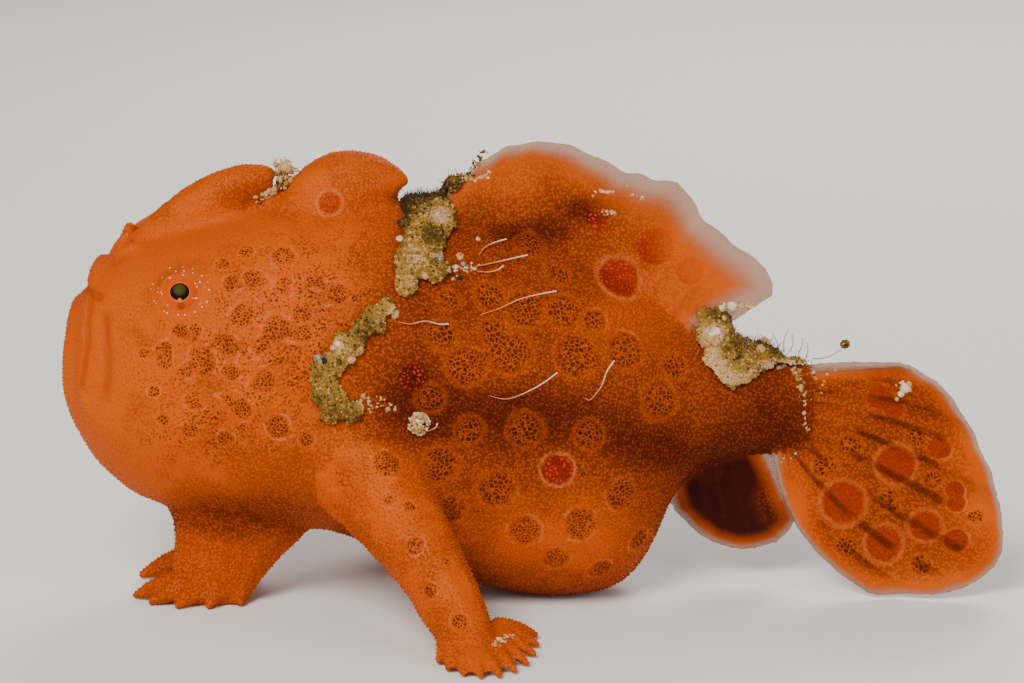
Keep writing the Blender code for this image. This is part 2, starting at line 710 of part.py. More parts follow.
def make_fish():
    clear_scene()
    for name in (FISH, TOOLS):
        new_collection(name)
    orange = new_material("orange_skin", ORANGE, 0.6)
    rust = new_material("rust_skin", RUST, 0.6)
    pale = new_material("pale_orange_skin", PALE_ORANGE, 0.6)
    gold = new_material("golden_crust", CRUST_GOLD, 0.9)
    white = new_material("bait_white", BAIT_WHITE, 0.6)
    dark = new_material("eye_dark", EYE_DARK, 0.1)

    flesh, eyes = make_flesh()
    second_spine = make_spine("second_spine", SECOND_SPINE, [flesh])
    spines = [second_spine, make_spine("third_spine", THIRD_SPINE, [flesh, second_spine])]
    lure = make_lure(flesh, spines)
    dorsal = make_fin("dorsal_fin", DORSAL_ROOTS, DORSAL_TIPS, DORSAL_FORM, [flesh])
    caudal = make_fin("caudal_fin", CAUDAL_ROOTS, CAUDAL_TIPS, CAUDAL_FORM, [flesh])
    anal = make_fin("anal_fin", ANAL_ROOTS, ANAL_TIPS, ANAL_FORM, [flesh, caudal])
    arm, hand = make_arm(flesh)
    leg = make_leg(flesh)
    bpy.context.view_layer.update()
    draw = np.random.default_rng(CRUST_SEED)
    crusts = [
        make_crust("crust_nape", NAPE_CRUST, [flesh, dorsal, spines[1]], draw),
        make_crust("crust_shoulder", SHOULDER_CRUST, [flesh, arm], draw),
        make_crust("crust_stalk", STALK_CRUST, [flesh, dorsal, caudal], draw),
    ]
    pairs = [arm, hand, leg]
    pairs += [mirrored(piece, piece.name.replace("_left", "_right")) for piece in pairs]
    pieces = split_flesh(flesh)
    for name, piece in pieces.items():
        piece.name = name
        dress(piece, orange if name in ("head", "lower_jaw") else rust)
    for piece in (*spines, *pairs):
        dress(piece, orange)
    for piece in (dorsal, anal):
        dress(piece, rust)
    dress(caudal, pale)
    dress(lure, white)
    for piece in crusts:
        dress(piece, gold)
    for piece in eyes:
        dress(piece, dark)
    bpy.data.collections.remove(bpy.data.collections[TOOLS])
    for obj in bpy.data.collections[FISH].objects:
        faces = sum(len(polygon.vertices) - 2 for polygon in obj.data.polygons)
        print(f"{obj.name}: {faces} triangles")


make_fish()
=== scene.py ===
# %% [markdown]
# # A painted frogfish, dressed
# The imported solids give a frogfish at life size: about 90 mm long, resting on its hand-like fins. This
# lesson gives it one unbroken skin, a velvet of tiny prickles, markings, eyes, a bait, and the crusts of
# algae and grit that hide it on the sea bed. Lengths are in metres, and `MM` turns millimetres into metres.

# %% Frame and tools
import math
import random
from functools import partialmethod

import bmesh
import bpy
import numpy as np
from mathutils import Matrix, Vector
from mathutils.bvhtree import BVHTree


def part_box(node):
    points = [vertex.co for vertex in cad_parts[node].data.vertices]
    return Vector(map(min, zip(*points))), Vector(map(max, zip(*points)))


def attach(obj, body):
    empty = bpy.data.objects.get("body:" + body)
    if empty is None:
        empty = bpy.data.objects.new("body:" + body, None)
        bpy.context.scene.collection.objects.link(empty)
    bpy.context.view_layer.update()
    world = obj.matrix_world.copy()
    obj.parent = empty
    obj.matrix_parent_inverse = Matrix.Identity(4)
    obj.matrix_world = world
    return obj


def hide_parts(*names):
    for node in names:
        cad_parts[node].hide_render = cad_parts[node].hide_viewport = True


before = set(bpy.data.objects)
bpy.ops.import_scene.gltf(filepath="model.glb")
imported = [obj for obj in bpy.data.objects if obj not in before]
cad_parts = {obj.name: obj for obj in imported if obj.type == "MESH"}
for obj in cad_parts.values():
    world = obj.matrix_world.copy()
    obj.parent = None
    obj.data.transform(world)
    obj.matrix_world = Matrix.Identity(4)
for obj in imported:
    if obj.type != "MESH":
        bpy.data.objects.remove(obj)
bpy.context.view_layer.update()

MM = 0.001

# %% [markdown]
# ## Camera
# The camera stands where the photograph was taken: level with the fish's left side, looking a little down.
# Its distance and lens follow from the size of a pixel at the fish's middle plane. The same numbers let us
# turn a place in the photograph into a place on the fish, which is how the markings find their spots.

# %% Camera
PHOTO_WIDTH, PHOTO_HEIGHT = 1024, 683
PIXEL = 0.0953 * MM
DISTANCE = 360 * MM
LOOK_DOWN = math.radians(14)
TARGET = Vector((-2.0966, 0, 24.7017)) * MM
SENSOR = 36

camera_back = Vector((0, -math.cos(LOOK_DOWN), math.sin(LOOK_DOWN)))
camera_up = Vector((0, math.sin(LOOK_DOWN), math.cos(LOOK_DOWN)))
camera_place = TARGET + camera_back * DISTANCE
focal_pixels = DISTANCE / PIXEL

camera = bpy.data.objects.new("camera", bpy.data.cameras.new("camera"))
bpy.context.scene.collection.objects.link(camera)
camera.location = camera_place
camera.rotation_euler = (math.pi / 2 - LOOK_DOWN, 0, 0)
camera.data.sensor_width = SENSOR
camera.data.lens = SENSOR * focal_pixels / PHOTO_WIDTH
camera.data.clip_start = 0.01
bpy.context.scene.camera = camera
print(f"lens {camera.data.lens:.1f} mm at {DISTANCE / MM:.0f} mm")


# %% Places in the photograph
def folded(points):
    """The same points, with the fish's right side laid over its left."""
    points = np.array(points, float).reshape(-1, 3)
    points[:, 1] = -np.abs(points[:, 1])
    return points


def in_photo(points):
    """Where points show in the photograph, in pixels."""
    away = np.asarray(points) - np.array(camera_place)
    depth = -away @ np.array(camera_back)
    across = PHOTO_WIDTH / 2 + focal_pixels * away[:, 0] / depth
    down = PHOTO_HEIGHT / 2 - focal_pixels * (away @ np.array(camera_up)) / depth
    return np.stack([across, down], axis=1)


def sight_line(px, py):
    """The direction from the camera through a pixel."""
    right = (px - PHOTO_WIDTH / 2) / focal_pixels
    up = (PHOTO_HEIGHT / 2 - py) / focal_pixels
    return (Vector((right, 0, 0)) + camera_up * up - camera_back).normalized()


# %% [markdown]
# ## Studio
# A pale floor and large, soft lamps show the form without hard shadows. A real studio would use softboxes,
# and an area lamp is the same thing. The warm key stands over the camera's left shoulder, as the
# photographer's did.

# %% Lights and floor
LAMPS = {
    "key": ((-0.16, -0.34, 0.34), 0.22, 2.7, (1.0, 0.95, 0.86)),
    "fill": ((0.36, -0.30, 0.16), 0.30, 0.8, (0.95, 0.97, 1.0)),
    "rim": ((0.10, 0.34, 0.30), 0.24, 1.3, (1.0, 0.96, 0.90)),
}
SKY, SKY_COLOUR = 0.26, (1, 0.985, 0.96, 1)
FLOOR_HALF = 3.0
FLOOR_COLOUR = (0.90, 0.885, 0.86, 1)
FLOOR_ROUGHNESS, FLOOR_GLOSS = 0.9, 0.5

for name, (place, size, power, tint) in LAMPS.items():
    lamp = bpy.data.objects.new(name, bpy.data.lights.new(name, "AREA"))
    lamp.data.size = size
    lamp.data.energy = power
    lamp.data.color = tint
    lamp.location = place
    lamp.rotation_euler = (Vector(place) - TARGET).to_track_quat("Z", "Y").to_euler()
    bpy.context.scene.collection.objects.link(lamp)

world = bpy.data.worlds.new("studio")
world.use_nodes = True
background = world.node_tree.nodes["Background"].inputs
background["Color"].default_value, background["Strength"].default_value = SKY_COLOUR, SKY
bpy.context.scene.world = world


def new_object(name, mesh):
    obj = bpy.data.objects.new(name, mesh)
    bpy.context.scene.collection.objects.link(obj)
    return obj


floor_mesh = bpy.data.meshes.new("floor")
corners = [(x * FLOOR_HALF, y * FLOOR_HALF, 0) for x, y in ((-1, -1), (1, -1), (1, 1), (-1, 1))]
floor_mesh.from_pydata(corners, [], [(0, 1, 2, 3)])
floor = new_object("floor", floor_mesh)
print(len(LAMPS), "lamps")

# %% [markdown]
# ## Shader arithmetic
# A pattern is easier to read as a formula than as a web of nodes. The class `Value` wraps a node's output,
# and each `+`, `*` or `-` adds the Math node that does it. `Paint` makes any other node from its type, its
# settings and what goes into its sockets, and lays one colour over another. A `Graph` is what it shares
# with the Geometry Nodes further down.

# %% Formulas
def live_output(node):
    """The output that a node's settings leave in use."""
    return next(socket for socket in node.outputs if socket.enabled)


class Graph:
    """A node tree under construction."""

    def feed(self, socket, value):
        """Links a socket to another one, or sets its value."""
        if isinstance(value, Value):
            value = value.socket
        if isinstance(value, bpy.types.NodeSocket):
            self.tree.links.new(value, socket)
        else:
            socket.default_value = value

    def node(self, kind, settings=None, *inputs, **named):
        """A node, its settings, and what goes into its sockets, in order or by name, with _ for a space."""
        node = self.tree.nodes.new(kind)
        for key, value in (settings or {}).items():
            setattr(node, key, value)
        sockets = [socket for socket in node.inputs if socket.enabled]
        called = {socket.name.replace(" ", "_"): socket for socket in reversed(sockets)}
        for socket, value in zip(sockets, inputs):
            self.feed(socket, value)
        for name, value in named.items():
            self.feed(called[name], value)
        return node


class Value:
    """A number that changes over a surface."""

    def __init__(self, paint, socket):
        self.paint, self.socket = paint, socket

    def _with(self, operation, *others):
        return self.paint.number("ShaderNodeMath", {"operation": operation}, self, *others)

    __add__ = __radd__ = partialmethod(_with, "ADD")
    __mul__ = __rmul__ = partialmethod(_with, "MULTIPLY")
    __sub__ = partialmethod(_with, "SUBTRACT")
    most = partialmethod(_with, "MAXIMUM")
    power = partialmethod(_with, "POWER")
    cosine = partialmethod(_with, "COSINE")

    def __rsub__(self, other):
        return self.paint.number("ShaderNodeMath", {"operation": "SUBTRACT"}, other, self)

    def ramp(self, start, end):
        """0 at start, 1 at end, smooth between them. Start may be the larger."""
        settings = {"interpolation_type": "SMOOTHSTEP"}
        if start < end:
            return self.paint.number("ShaderNodeMapRange", settings, self, start, end)
        return 1 - self.paint.number("ShaderNodeMapRange", settings, self, end, start)


print("formulas ready")


# %% Materials
class Paint(Graph):
    """A material under construction, and the colour it has so far."""

    def __init__(self, name, roughness, specular, colour=None):
        self.material = bpy.data.materials.new(name)
        self.material.use_nodes = True
        self.tree = self.material.node_tree
        self.shader = self.tree.nodes["Principled BSDF"]
        self.finish("Roughness", roughness)
        self.finish("Specular IOR Level", specular)
        self.colour = colour

    def number(self, kind, settings, *inputs):
        return Value(self, self.node(kind, settings, *inputs).outputs[0])

    def attribute(self, name):
        node = self.node("ShaderNodeAttribute", {"attribute_name": name})
        return Value(self, node.outputs["Fac"])

    def place(self):
        return self.node("ShaderNodeTexCoord").outputs["Object"]

    def noise(self, size, detail=2.0):
        """Soft clouds from 0 to 1, about so large."""
        node = self.node("ShaderNodeTexNoise", {}, self.place(), 1 / size, detail)
        return Value(self, node.outputs["Fac"])

    def cells(self, size, feature="F1"):
        """The distance to the middle or the edge of irregular cells, from 0 to about 1."""
        node = self.node("ShaderNodeTexVoronoi", {"feature": feature}, self.place(), 1 / size)
        return Value(self, node.outputs["Distance"])

    def mix(self, share, first, second):
        """From the first colour at 0 to the second at 1."""
        return live_output(self.node("ShaderNodeMix", {"data_type": "RGBA"}, share, first, second))

    def over(self, share, colour):
        """Lays a colour over what the material has so far."""
        self.colour = self.mix(share, self.colour, colour)

    def bump(self, height, depth, strength):
        """Small relief, in metres."""
        node = self.node("ShaderNodeBump", Strength=strength, Distance=depth, Height=height)
        self.finish("Normal", node.outputs["Normal"])

    def finish(self, socket, value):
        self.feed(self.shader.inputs[socket], value)

    def cover(self, mesh):
        """Shows the material, with the colour it has by now, on a mesh."""
        self.finish("Base Color", self.colour)
        mesh.materials.append(self.material)


Paint("floor", FLOOR_ROUGHNESS, FLOOR_GLOSS, FLOOR_COLOUR).cover(floor_mesh)
print("the floor is painted")

# %% [markdown]
# ## One skin
# A living fish has no seams, but the solids are parted at the neck, the jaw and every fin. A sculptor would
# fill the joints with clay and smooth them. Here copies of the solids are swollen until they touch, fused
# on a fine grid of cubes (a voxel remesh), and shrunk back. Each point of the new skin remembers which
# solid it came from, so that fins can be treated unlike flesh.

# %% What the skin covers
GRID = 0.2 * MM
SKIN_TRIANGLES = 196000
SWELL = 0.2 * MM
PRICKLE_HEIGHT = 0.16 * MM
MERGE = 0.005 * MM

SIDES = ("left", "right")
EYES = {side: f"eye_{side}" for side in SIDES}
LID = 0.2 * MM
# Knobs on brow and lip, and fillers behind the bait: pixel, radius in pixels, millimetres from the middle
KNOBS = [
    (125, 239, 8.0, 2.4), (98, 270, 8.5, 0.8), (98, 270, 8.5, 2.0), (263, 203, 7.5, 0), (272, 197, 6.5, 0),
    (254, 208, 6.0, 0),
]
FLESH = ["head", "lower_jaw", "trunk", "tail_stalk", "second_spine", "third_spine"]
FINS = ["dorsal_fin", "anal_fin", "caudal_fin"]
LIMBS = [f"{limb}_{side}" for limb in ("pectoral_arm", "pectoral_hand", "pelvic_fin") for side in SIDES]
SKIN_NODES = FLESH + FINS + LIMBS
print(len(SKIN_NODES), "solids under the skin")


# %% Helpers for meshes
def joined_copy(names):
    """The named solids as one merged mesh, and the number of its solid for each triangle."""
    bm = bmesh.new()
    number_of = bm.faces.layers.int.new("solid")
    before = 0
    for number, name in enumerate(names):
        bm.from_mesh(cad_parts[name].data)
        bm.faces.ensure_lookup_table()
        for face in bm.faces[before:]:
            face[number_of] = number
        before = len(bm.faces)
    bmesh.ops.remove_doubles(bm, verts=bm.verts, dist=MERGE)
    return bm, [face[number_of] for face in bm.faces]


def eye_ball(name):
    """The centre and the radius of an eye, in metres."""
    low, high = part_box(name)
    return (low + high) / 2, (high.z - low.z) / 2


def settle(obj):
    """Applies an object's modifiers to its mesh."""
    bpy.context.view_layer.update()
    shaped = obj.evaluated_get(bpy.context.evaluated_depsgraph_get())
    mesh = bpy.data.meshes.new_from_object(shaped)
    obj.modifiers.clear()
    obj.data = mesh
    return obj


def as_mesh(bm, name):
    mesh = bpy.data.meshes.new(name)
    bm.to_mesh(mesh)
    bm.free()
    return mesh


def numbers_of(elements, what, width=1, kind=np.float32):
    """What each element of a mesh says, as an array with so many columns."""
    values = np.zeros(len(elements) * width, kind)
    elements.foreach_get(what, values)
    return values.reshape(-1, width) if width > 1 else values


def points_of(mesh, what="co"):
    """The places of a mesh's points, or their normals."""
    return numbers_of(mesh.vertices, what, 3).astype(float)


def store_marks(mesh, marks):
    """Stores numbers on a mesh's points."""
    for name, values in marks.items():
        whole = values.dtype.kind == "i"
        layer = mesh.attributes.new(name, "INT" if whole else "FLOAT", "POINT")
        layer.data.foreach_set("value", values.astype(np.int32 if whole else np.float32))


def triangle_count(mesh):
    return sum(len(polygon.vertices) - 2 for polygon in mesh.polygons)


print("mesh helpers ready")

# %% Fuse the solids
BALL_DETAIL, KNOB_DETAIL = 4, 3
solids, owners = joined_copy(SKIN_NODES)
solid_tree = BVHTree.FromBMesh(solids)
for name in EYES.values():
    centre, radius = eye_ball(name)
    matrix = Matrix.Translation(centre)
    bmesh.ops.create_icosphere(solids, subdivisions=BALL_DETAIL, radius=radius + LID, matrix=matrix)
for px, py, size, aside in KNOBS:
    sight = sight_line(px, py)
    place = camera_place + sight * ((-aside * MM - camera_place.y) / sight.y)
    for side in (1, -1):
        matrix = Matrix.Translation(place * Vector((1, side, 1)))
        bmesh.ops.create_icosphere(solids, subdivisions=KNOB_DETAIL, radius=size * PIXEL, matrix=matrix)
skin = new_object("skin", as_mesh(solids, "skin"))
for name, strength in (("swell", SWELL), ("shrink", -SWELL - PRICKLE_HEIGHT / 2)):
    if name == "shrink":
        fuse = skin.modifiers.new("fuse", "REMESH")
        fuse.mode = "VOXEL"
        fuse.voxel_size = GRID
    displace = skin.modifiers.new(name, "DISPLACE")
    displace.mid_level = 0
    displace.strength = strength
settle(skin)
thinner = skin.modifiers.new("thinner", "DECIMATE")
thinner.ratio = SKIN_TRIANGLES / 2 / len(skin.data.polygons)
settle(skin)
print(len(skin.data.vertices), "points in the skin")

# %% [markdown]
# The grid leaves steps and the joints leave furrows. Averaging each point with its neighbours, again and
# again, rounds both off. Flesh gets many rounds. Fins, fingers and toes get few, or they would wither.

# %% A web of neighbours
ROUNDS = 24
FIN_SHARE = 0.2
SOFTEN = 4


class Web:
    """Which points of a mesh are neighbours."""

    def __init__(self, mesh):
        self.first, self.second = numbers_of(mesh.edges, "vertices", 2, np.int32).T
        self.count = len(mesh.vertices)
        self.valence = np.bincount(np.concatenate([self.first, self.second]), minlength=self.count)

    def mean(self, values):
        """The average of each point's neighbours."""
        ways = ((self.first, self.second), (self.second, self.first))
        totals = [
            sum(np.bincount(here, column[there], self.count) for here, there in ways)
            for column in values.reshape(self.count, -1).T
        ]
        return (np.array(totals) / self.valence).T.reshape(values.shape)

    def smooth(self, values, rounds, share=0.5):
        for _ in range(rounds):
            change = self.mean(values) - values
            values = values + (change * share if values.ndim == 1 else change * np.reshape(share, (-1, 1)))
        return values


print("smoothing tool ready")

# %% Round it off
web = Web(skin.data)
places = points_of(skin.data)
source = np.array([owners[solid_tree.find_nearest(Vector(place))[2]] for place in places])
source_names = np.array(SKIN_NODES)[source]


def comes_from(*beginnings):
    """1 where the skin stands for a solid whose name begins so, and 0 elsewhere."""
    return np.array([name.startswith(beginnings) for name in source_names], float)


on_fins = comes_from("dorsal", "anal", "caudal")
on_digits = comes_from("pectoral_hand", "pelvic")
thin = web.smooth(np.maximum(on_fins, on_digits), SOFTEN)
places = web.smooth(places, ROUNDS, 0.5 * (1 - thin * (1 - FIN_SHARE)))
print(f"flesh {1 - thin.mean():.0%} of the points")

# %% [markdown]
# ## Lids and creases
# The skin runs over each eyeball and opens in a round window. Points inside the window sink below the
# ball's surface, so the ball shows. Creases are lines drawn by pixel, along which the skin sinks: the line
# of the mouth, the edge of the upper jaw's bone behind it, the notch over the lip, and fine lines on the
# second spine. Along every crease the colour darkens as well, and that darkening is painted shade.

# %% Sizes of lids and creases
PUPIL_PIXEL = (179.5, 291.5)
WINDOW = (1.45 * MM, 1.80 * MM)
WINDOW_DEPTH = 0.25 * MM
LID_RISE = 0.10 * MM
# Each crease: its pixels, half width in pixels, depth in millimetres, and how much painted shade darkens the
# skin
CREASES = [
    ([(92, 288), (90, 303), (87, 322), (87, 343), (84, 366), (80, 386)], 3.2, 0.30, 0.70),
    ([(104, 316), (106, 338), (107.5, 358), (107.5, 378), (104, 394)], 4.5, 0.30, 0.70),
    ([(81, 340), (78, 362), (78, 390)], 2.4, 0.08, 0.25),
    ([(96, 388), (90, 392), (84, 390)], 3.0, 0.08, 0.25),
    ([(78, 286), (90, 290), (98, 296)], 4.0, 0.55, 0.45),
    ([(220, 201), (240, 191), (268, 175)], 1.8, 0.07, 0.45),
    ([(222, 205), (244, 196), (272, 180)], 1.8, 0.07, 0.45),
    ([(226, 209), (248, 201), (268, 189)], 1.8, 0.07, 0.45),
]
print(len(CREASES), "creases")


# %% Helpers for lids and creases
def smooth_step(values, low, high):
    share = np.clip((values - low) / (high - low), 0, 1)
    return share * share * (3 - 2 * share)


def distance_to_line(points, line):
    """How far points of a plane lie from a line of short pieces."""
    nearest = np.full(len(points), np.inf)
    for start, end in zip(line, line[1:]):
        along = end - start
        share = np.clip((points - start) @ along / (along @ along), 0, 1)
        nearest = np.minimum(nearest, np.linalg.norm(points - start - share[:, None] * along, axis=1))
    return nearest


def move_skin(points):
    """Moves the skin's points, and gives its new normals."""
    skin.data.vertices.foreach_set("co", points.astype(np.float32).ravel())
    skin.data.update()
    return points_of(skin.data, "normal")


def look_of(centre, radius, sight):
    """The direction from a ball's centre to the point where a line of sight meets the ball."""
    along = (centre - camera_place).dot(sight)
    aside = (centre - camera_place - sight * along).length
    hit = camera_place + sight * (along - math.sqrt(max(radius**2 - aside**2, 0)))
    return (hit - centre).normalized()


print("crease helpers ready")

# %% Open the eyes
eye_aim = look_of(*eye_ball("eye_left"), sight_line(*PUPIL_PIXEL))
MIRRORED = Vector((1, -1, 1))
eyes = {
    "left": (*eye_ball("eye_left"), eye_aim, Vector((1, 1, 1))),
    "right": (*eye_ball("eye_right"), eye_aim * MIRRORED, MIRRORED),
}
# How far round a ball, and how far from its centre, the lids reach, in its radius
LID_REACH, LID_FULL, LID_DEEP = 1.1, 0.9, 1.5
for centre, radius, aim, _ in eyes.values():
    out = places - np.array(centre)
    length = np.linalg.norm(out, axis=1)
    forward = out @ np.array(aim)
    aside = np.sqrt(np.maximum(length**2 - forward**2, 0))
    near = (forward > 0) & (aside < radius * LID_REACH) & (length < radius * LID_DEEP)
    level = radius - WINDOW_DEPTH + (WINDOW_DEPTH + LID_RISE) * smooth_step(aside, *WINDOW)
    share = smooth_step(aside, radius * LID_REACH, radius * LID_FULL) * near
    places += out / length[:, None] * ((level - length) * share)[:, None]
print("eyes look along", [tuple(round(part, 2) for part in aim) for _, _, aim, _ in eyes.values()])

# %% Sink the creases and paint shade in them
shown = in_photo(folded(places))
crease_shade = np.zeros(len(places))
sink = np.zeros(len(places))
for line, half_width, depth, darker in CREASES:
    away = distance_to_line(shown, np.array(line, float)) / half_width
    shape = np.exp(-(away**2)) * (comes_from("head", "lower_jaw", "second") > 0)
    # Painted shade: how much each crease darkens the skin
    crease_shade = np.maximum(crease_shade, shape * darker)
    sink = np.maximum(sink, shape * depth * MM)
places -= move_skin(places) * sink[:, None]
print(f"{(crease_shade > 0.1).sum()} points in creases")

# %% [markdown]
# ## Where the markings lie
# Every mark is given by the pixel where it shows in the photograph and by its radius in pixels. A line of
# sight through that pixel finds the place on the solids. The skin then stores, point by point, how far away
# the nearest mark is, counted in that mark's own radius. Such a distance changes gently, so a shader can
# draw a crisp ring from it even though the points stand 0.3 mm apart. The right side repeats the left.

# %% Places of spots
TAIL_DOTS = [
    (893, 409, 10), (873, 374, 8), (880, 398, 13), (955, 490, 9), (956, 503, 9), (939, 448, 11),
    (956, 541, 12),
]
ROSETTES = [
    (284, 255, 12), (253, 278, 10), (285, 285, 11), (232, 284, 9), (316, 280, 9), (339, 293, 11),
    (259, 298, 8), (241, 316, 13), (301, 313, 12), (277, 328, 14), (304, 335, 9), (259, 346, 9),
    (223, 342, 10), (231, 351, 10), (200, 354, 11), (203, 365, 11), (164, 351, 9), (164, 361, 9),
    (185, 371, 8), (195, 330, 7), (179, 331, 8), (262, 381, 13), (231, 373, 9), (234, 401, 11),
    (242, 410, 11), (195, 401, 10), (190, 431, 9), (153, 392, 7), (278, 427, 12), (306, 439, 8),
    (223, 263, 7), (246, 250, 8), (143, 353, 6), (163, 420, 7), (225, 440, 9), (320, 395, 9),
    (449, 300, 10), (489, 295, 13), (526, 309, 17), (565, 311, 16), (490, 331, 12), (510, 353, 19),
    (466, 366, 18), (577, 356, 20), (626, 350, 18), (595, 320, 12), (442, 334, 14), (430, 398, 13),
    (525, 430, 16), (440, 465, 17), (388, 463, 14), (497, 490, 18), (622, 495, 15), (660, 400, 18),
    (580, 525, 17), (525, 532, 16), (450, 510, 15), (556, 560, 14), (600, 570, 12), (640, 540, 12),
    (530, 245, 14), (558, 272, 12), (675, 365, 12), (705, 340, 10), (470, 430, 13), (590, 435, 14),
    (415, 545, 9), (388, 500, 7), (430, 590, 8), (460, 622, 8), (447, 560, 6), (410, 505, 7),
    (889, 501, 11), (921, 565, 10), (825, 466, 12), (850, 446, 11), (846, 546, 10), (916, 436, 10),
    (976, 517, 8), (933, 479, 9), (843, 503, 19), (896, 464, 17), (925, 526, 14), (884, 543, 16),
    *TAIL_DOTS,
]
RINGED_SPOTS = [(618, 280, 20), (329, 203, 11), (558, 470, 15)]
PLAIN_SPOTS = [
    (413, 378, 14), (597, 218, 12), (655, 246, 19), (690, 271, 14), (707, 470, 17), *TAIL_DOTS,
]
TAIL_SPOTS = [(843, 503, 20), (896, 464, 18), (925, 526, 15), (884, 543, 17)]
FAR = 9.0
print(len(ROSETTES), "rosettes")


# %% Find the spots on the fish
def on_solids(px, py):
    """Where the photograph's line of sight meets the solids, or nothing."""
    return solid_tree.ray_cast(camera_place, sight_line(px, py))[0]


def nearest_mark(marks, points):
    """The distance of each point to the nearest mark, in that mark's radius."""
    ratio = np.full(len(points), FAR)
    for px, py, radius in marks:
        centre = on_solids(px, py)
        if centre:
            away = np.linalg.norm(points - np.array(centre), axis=1)
            ratio = np.minimum(ratio, away / (radius * PIXEL))
    return ratio


left_places = folded(places)
ringed = RINGED_SPOTS + TAIL_SPOTS
spots = {"rosette": ROSETTES, "ocellus": ringed + PLAIN_SPOTS, "ring": ringed}
marks = {name: nearest_mark(listed, left_places) for name, listed in spots.items()}
print({name: f"{(values < 1).mean():.0%} of the skin" for name, values in marks.items()})

# %% [markdown]
# ## Washes of colour and painted shade
# Between its marks the fish runs from clear orange on head and arms to a deep rust brown at mid body and on
# the tail stalk. Each solid gets a basic tone from 0, orange, to 1, rust, and the anal fin goes beyond, to
# maroon. Smoothing lets neighbours run into each other like wet paint. Then soft washes, again placed by
# pixel, darken or lighten patches. Most are the fish's own colour, but three darken it as painted shade:
# under the pelvic fins and along the underside of the belly. Freckles on the head get washes of their own.

# %% Places of washes
BASIC_TONE = {
    "head": 0.02, "lower_jaw": 0.0, "trunk": 0.43, "tail_stalk": 0.64, "second": 0.05, "third": 0.04,
    "dorsal": 0.34, "anal": 1.35, "caudal": 0.33, "pectoral_arm": 0.07, "pectoral_hand": 0.05,
    "pelvic": 0.10,
}
BLEND_ROUNDS = 70
# Pixel, radius across and down in pixels, and how much darker or more freckled
# Painted shade among these: (240, 515) under the pelvic fins, (480, 588) under the belly, and (560, 612)
# along the belly's underside, there partly its own brownish colour
BODY_WASHES_AND_SHADE = [
    (248, 194, 30, 12, 0.16), (350, 460, 60, 40, 0.05), (370, 280, 40, 80, 0.06), (270, 400, 90, 90, 0.04),
    (520, 418, 110, 32, 0.62), (405, 392, 42, 42, 0.46), (655, 452, 55, 28, 0.50), (590, 207, 36, 14, 0.66),
    (532, 232, 46, 16, 0.62), (520, 545, 130, 50, -0.36), (600, 480, 60, 40, -0.12),
    (640, 315, 70, 40, -0.30), (720, 270, 60, 30, -0.30), (790, 425, 40, 34, 0.22),
    (240, 515, 70, 20, 0.55), (430, 290, 30, 60, 0.10), (285, 470, 60, 36, 0.14), (590, 545, 60, 36, -0.20),
    (560, 612, 80, 14, 0.30), (470, 320, 60, 50, 0.10), (510, 182, 44, 20, -0.26),
    (675, 240, 50, 22, -0.16), (480, 588, 60, 14, 0.12), (345, 440, 30, 40, -0.10),
    (740, 430, 40, 26, 0.12),
]
TAIL_WASHES = [
    (985, 470, 40, 120, -0.30), (900, 590, 90, 24, -0.30), (795, 500, 22, 60, -0.30),
    (880, 362, 80, 14, -0.22), (900, 430, 50, 60, 0.12),
]
ANAL_WASHES = [(775, 505, 22, 34, -0.55)]
FRECKLE_WASHES = [
    (255, 370, 95, 85, 0.95), (300, 285, 80, 55, 0.75), (200, 440, 60, 45, 0.55), (350, 330, 45, 90, 0.45),
    (150, 345, 30, 30, 0.35), (140, 440, 40, 40, 0.15),
]
DARKEST = 1.4
UNFRECKLED = (26, 36)
print(len(BODY_WASHES_AND_SHADE + TAIL_WASHES + ANAL_WASHES), "washes of tone")


# %% Brush on the tone
def washed(tone, washes, where):
    """The tone after soft patches, only where the mask allows."""
    for px, py, across, down, darker in washes:
        away = ((shown[:, 0] - px) / across) ** 2 + ((shown[:, 1] - py) / down) ** 2
        tone = tone + where * darker * np.exp(-away)
    return tone


shown = in_photo(left_places)
tone = sum(comes_from(name) * value for name, value in BASIC_TONE.items())
tone = web.smooth(tone, BLEND_ROUNDS)
# The body's washes bring the fish's own patches and the painted shade under the pelvic fins and belly
tone = washed(tone, BODY_WASHES_AND_SHADE, 1 - comes_from("pectoral", "caudal", "anal"))
for washes, fin in ((TAIL_WASHES, "caudal"), (ANAL_WASHES, "anal")):
    tone = washed(tone, washes, web.smooth(comes_from(fin), SOFTEN))
marks["tone"] = np.clip(tone, 0, DARKEST)
marks["crease_shade"] = crease_shade
freckle = washed(np.zeros(len(places)), FRECKLE_WASHES, comes_from("head", "lower_jaw"))
from_pupil = np.linalg.norm(shown - PUPIL_PIXEL, axis=1)
marks["freckle"] = np.clip(freckle, 0, 1) * smooth_step(from_pupil, *UNFRECKLED)
print("tone from", marks["tone"].min().round(2), "to", marks["tone"].max().round(2))

# %% [markdown]
# ## Fin rays and margins
# A fin's web is stretched between bony rays. Its edge is thinner and paler than the rest, so light passes
# through. The lines of the rays repeat those of the solids. For each point of a fin the skin stores where
# it lies between two rays, and how near it is to the margin. Between two rays the margin also bulges a
# little, so that the outline has no corners.

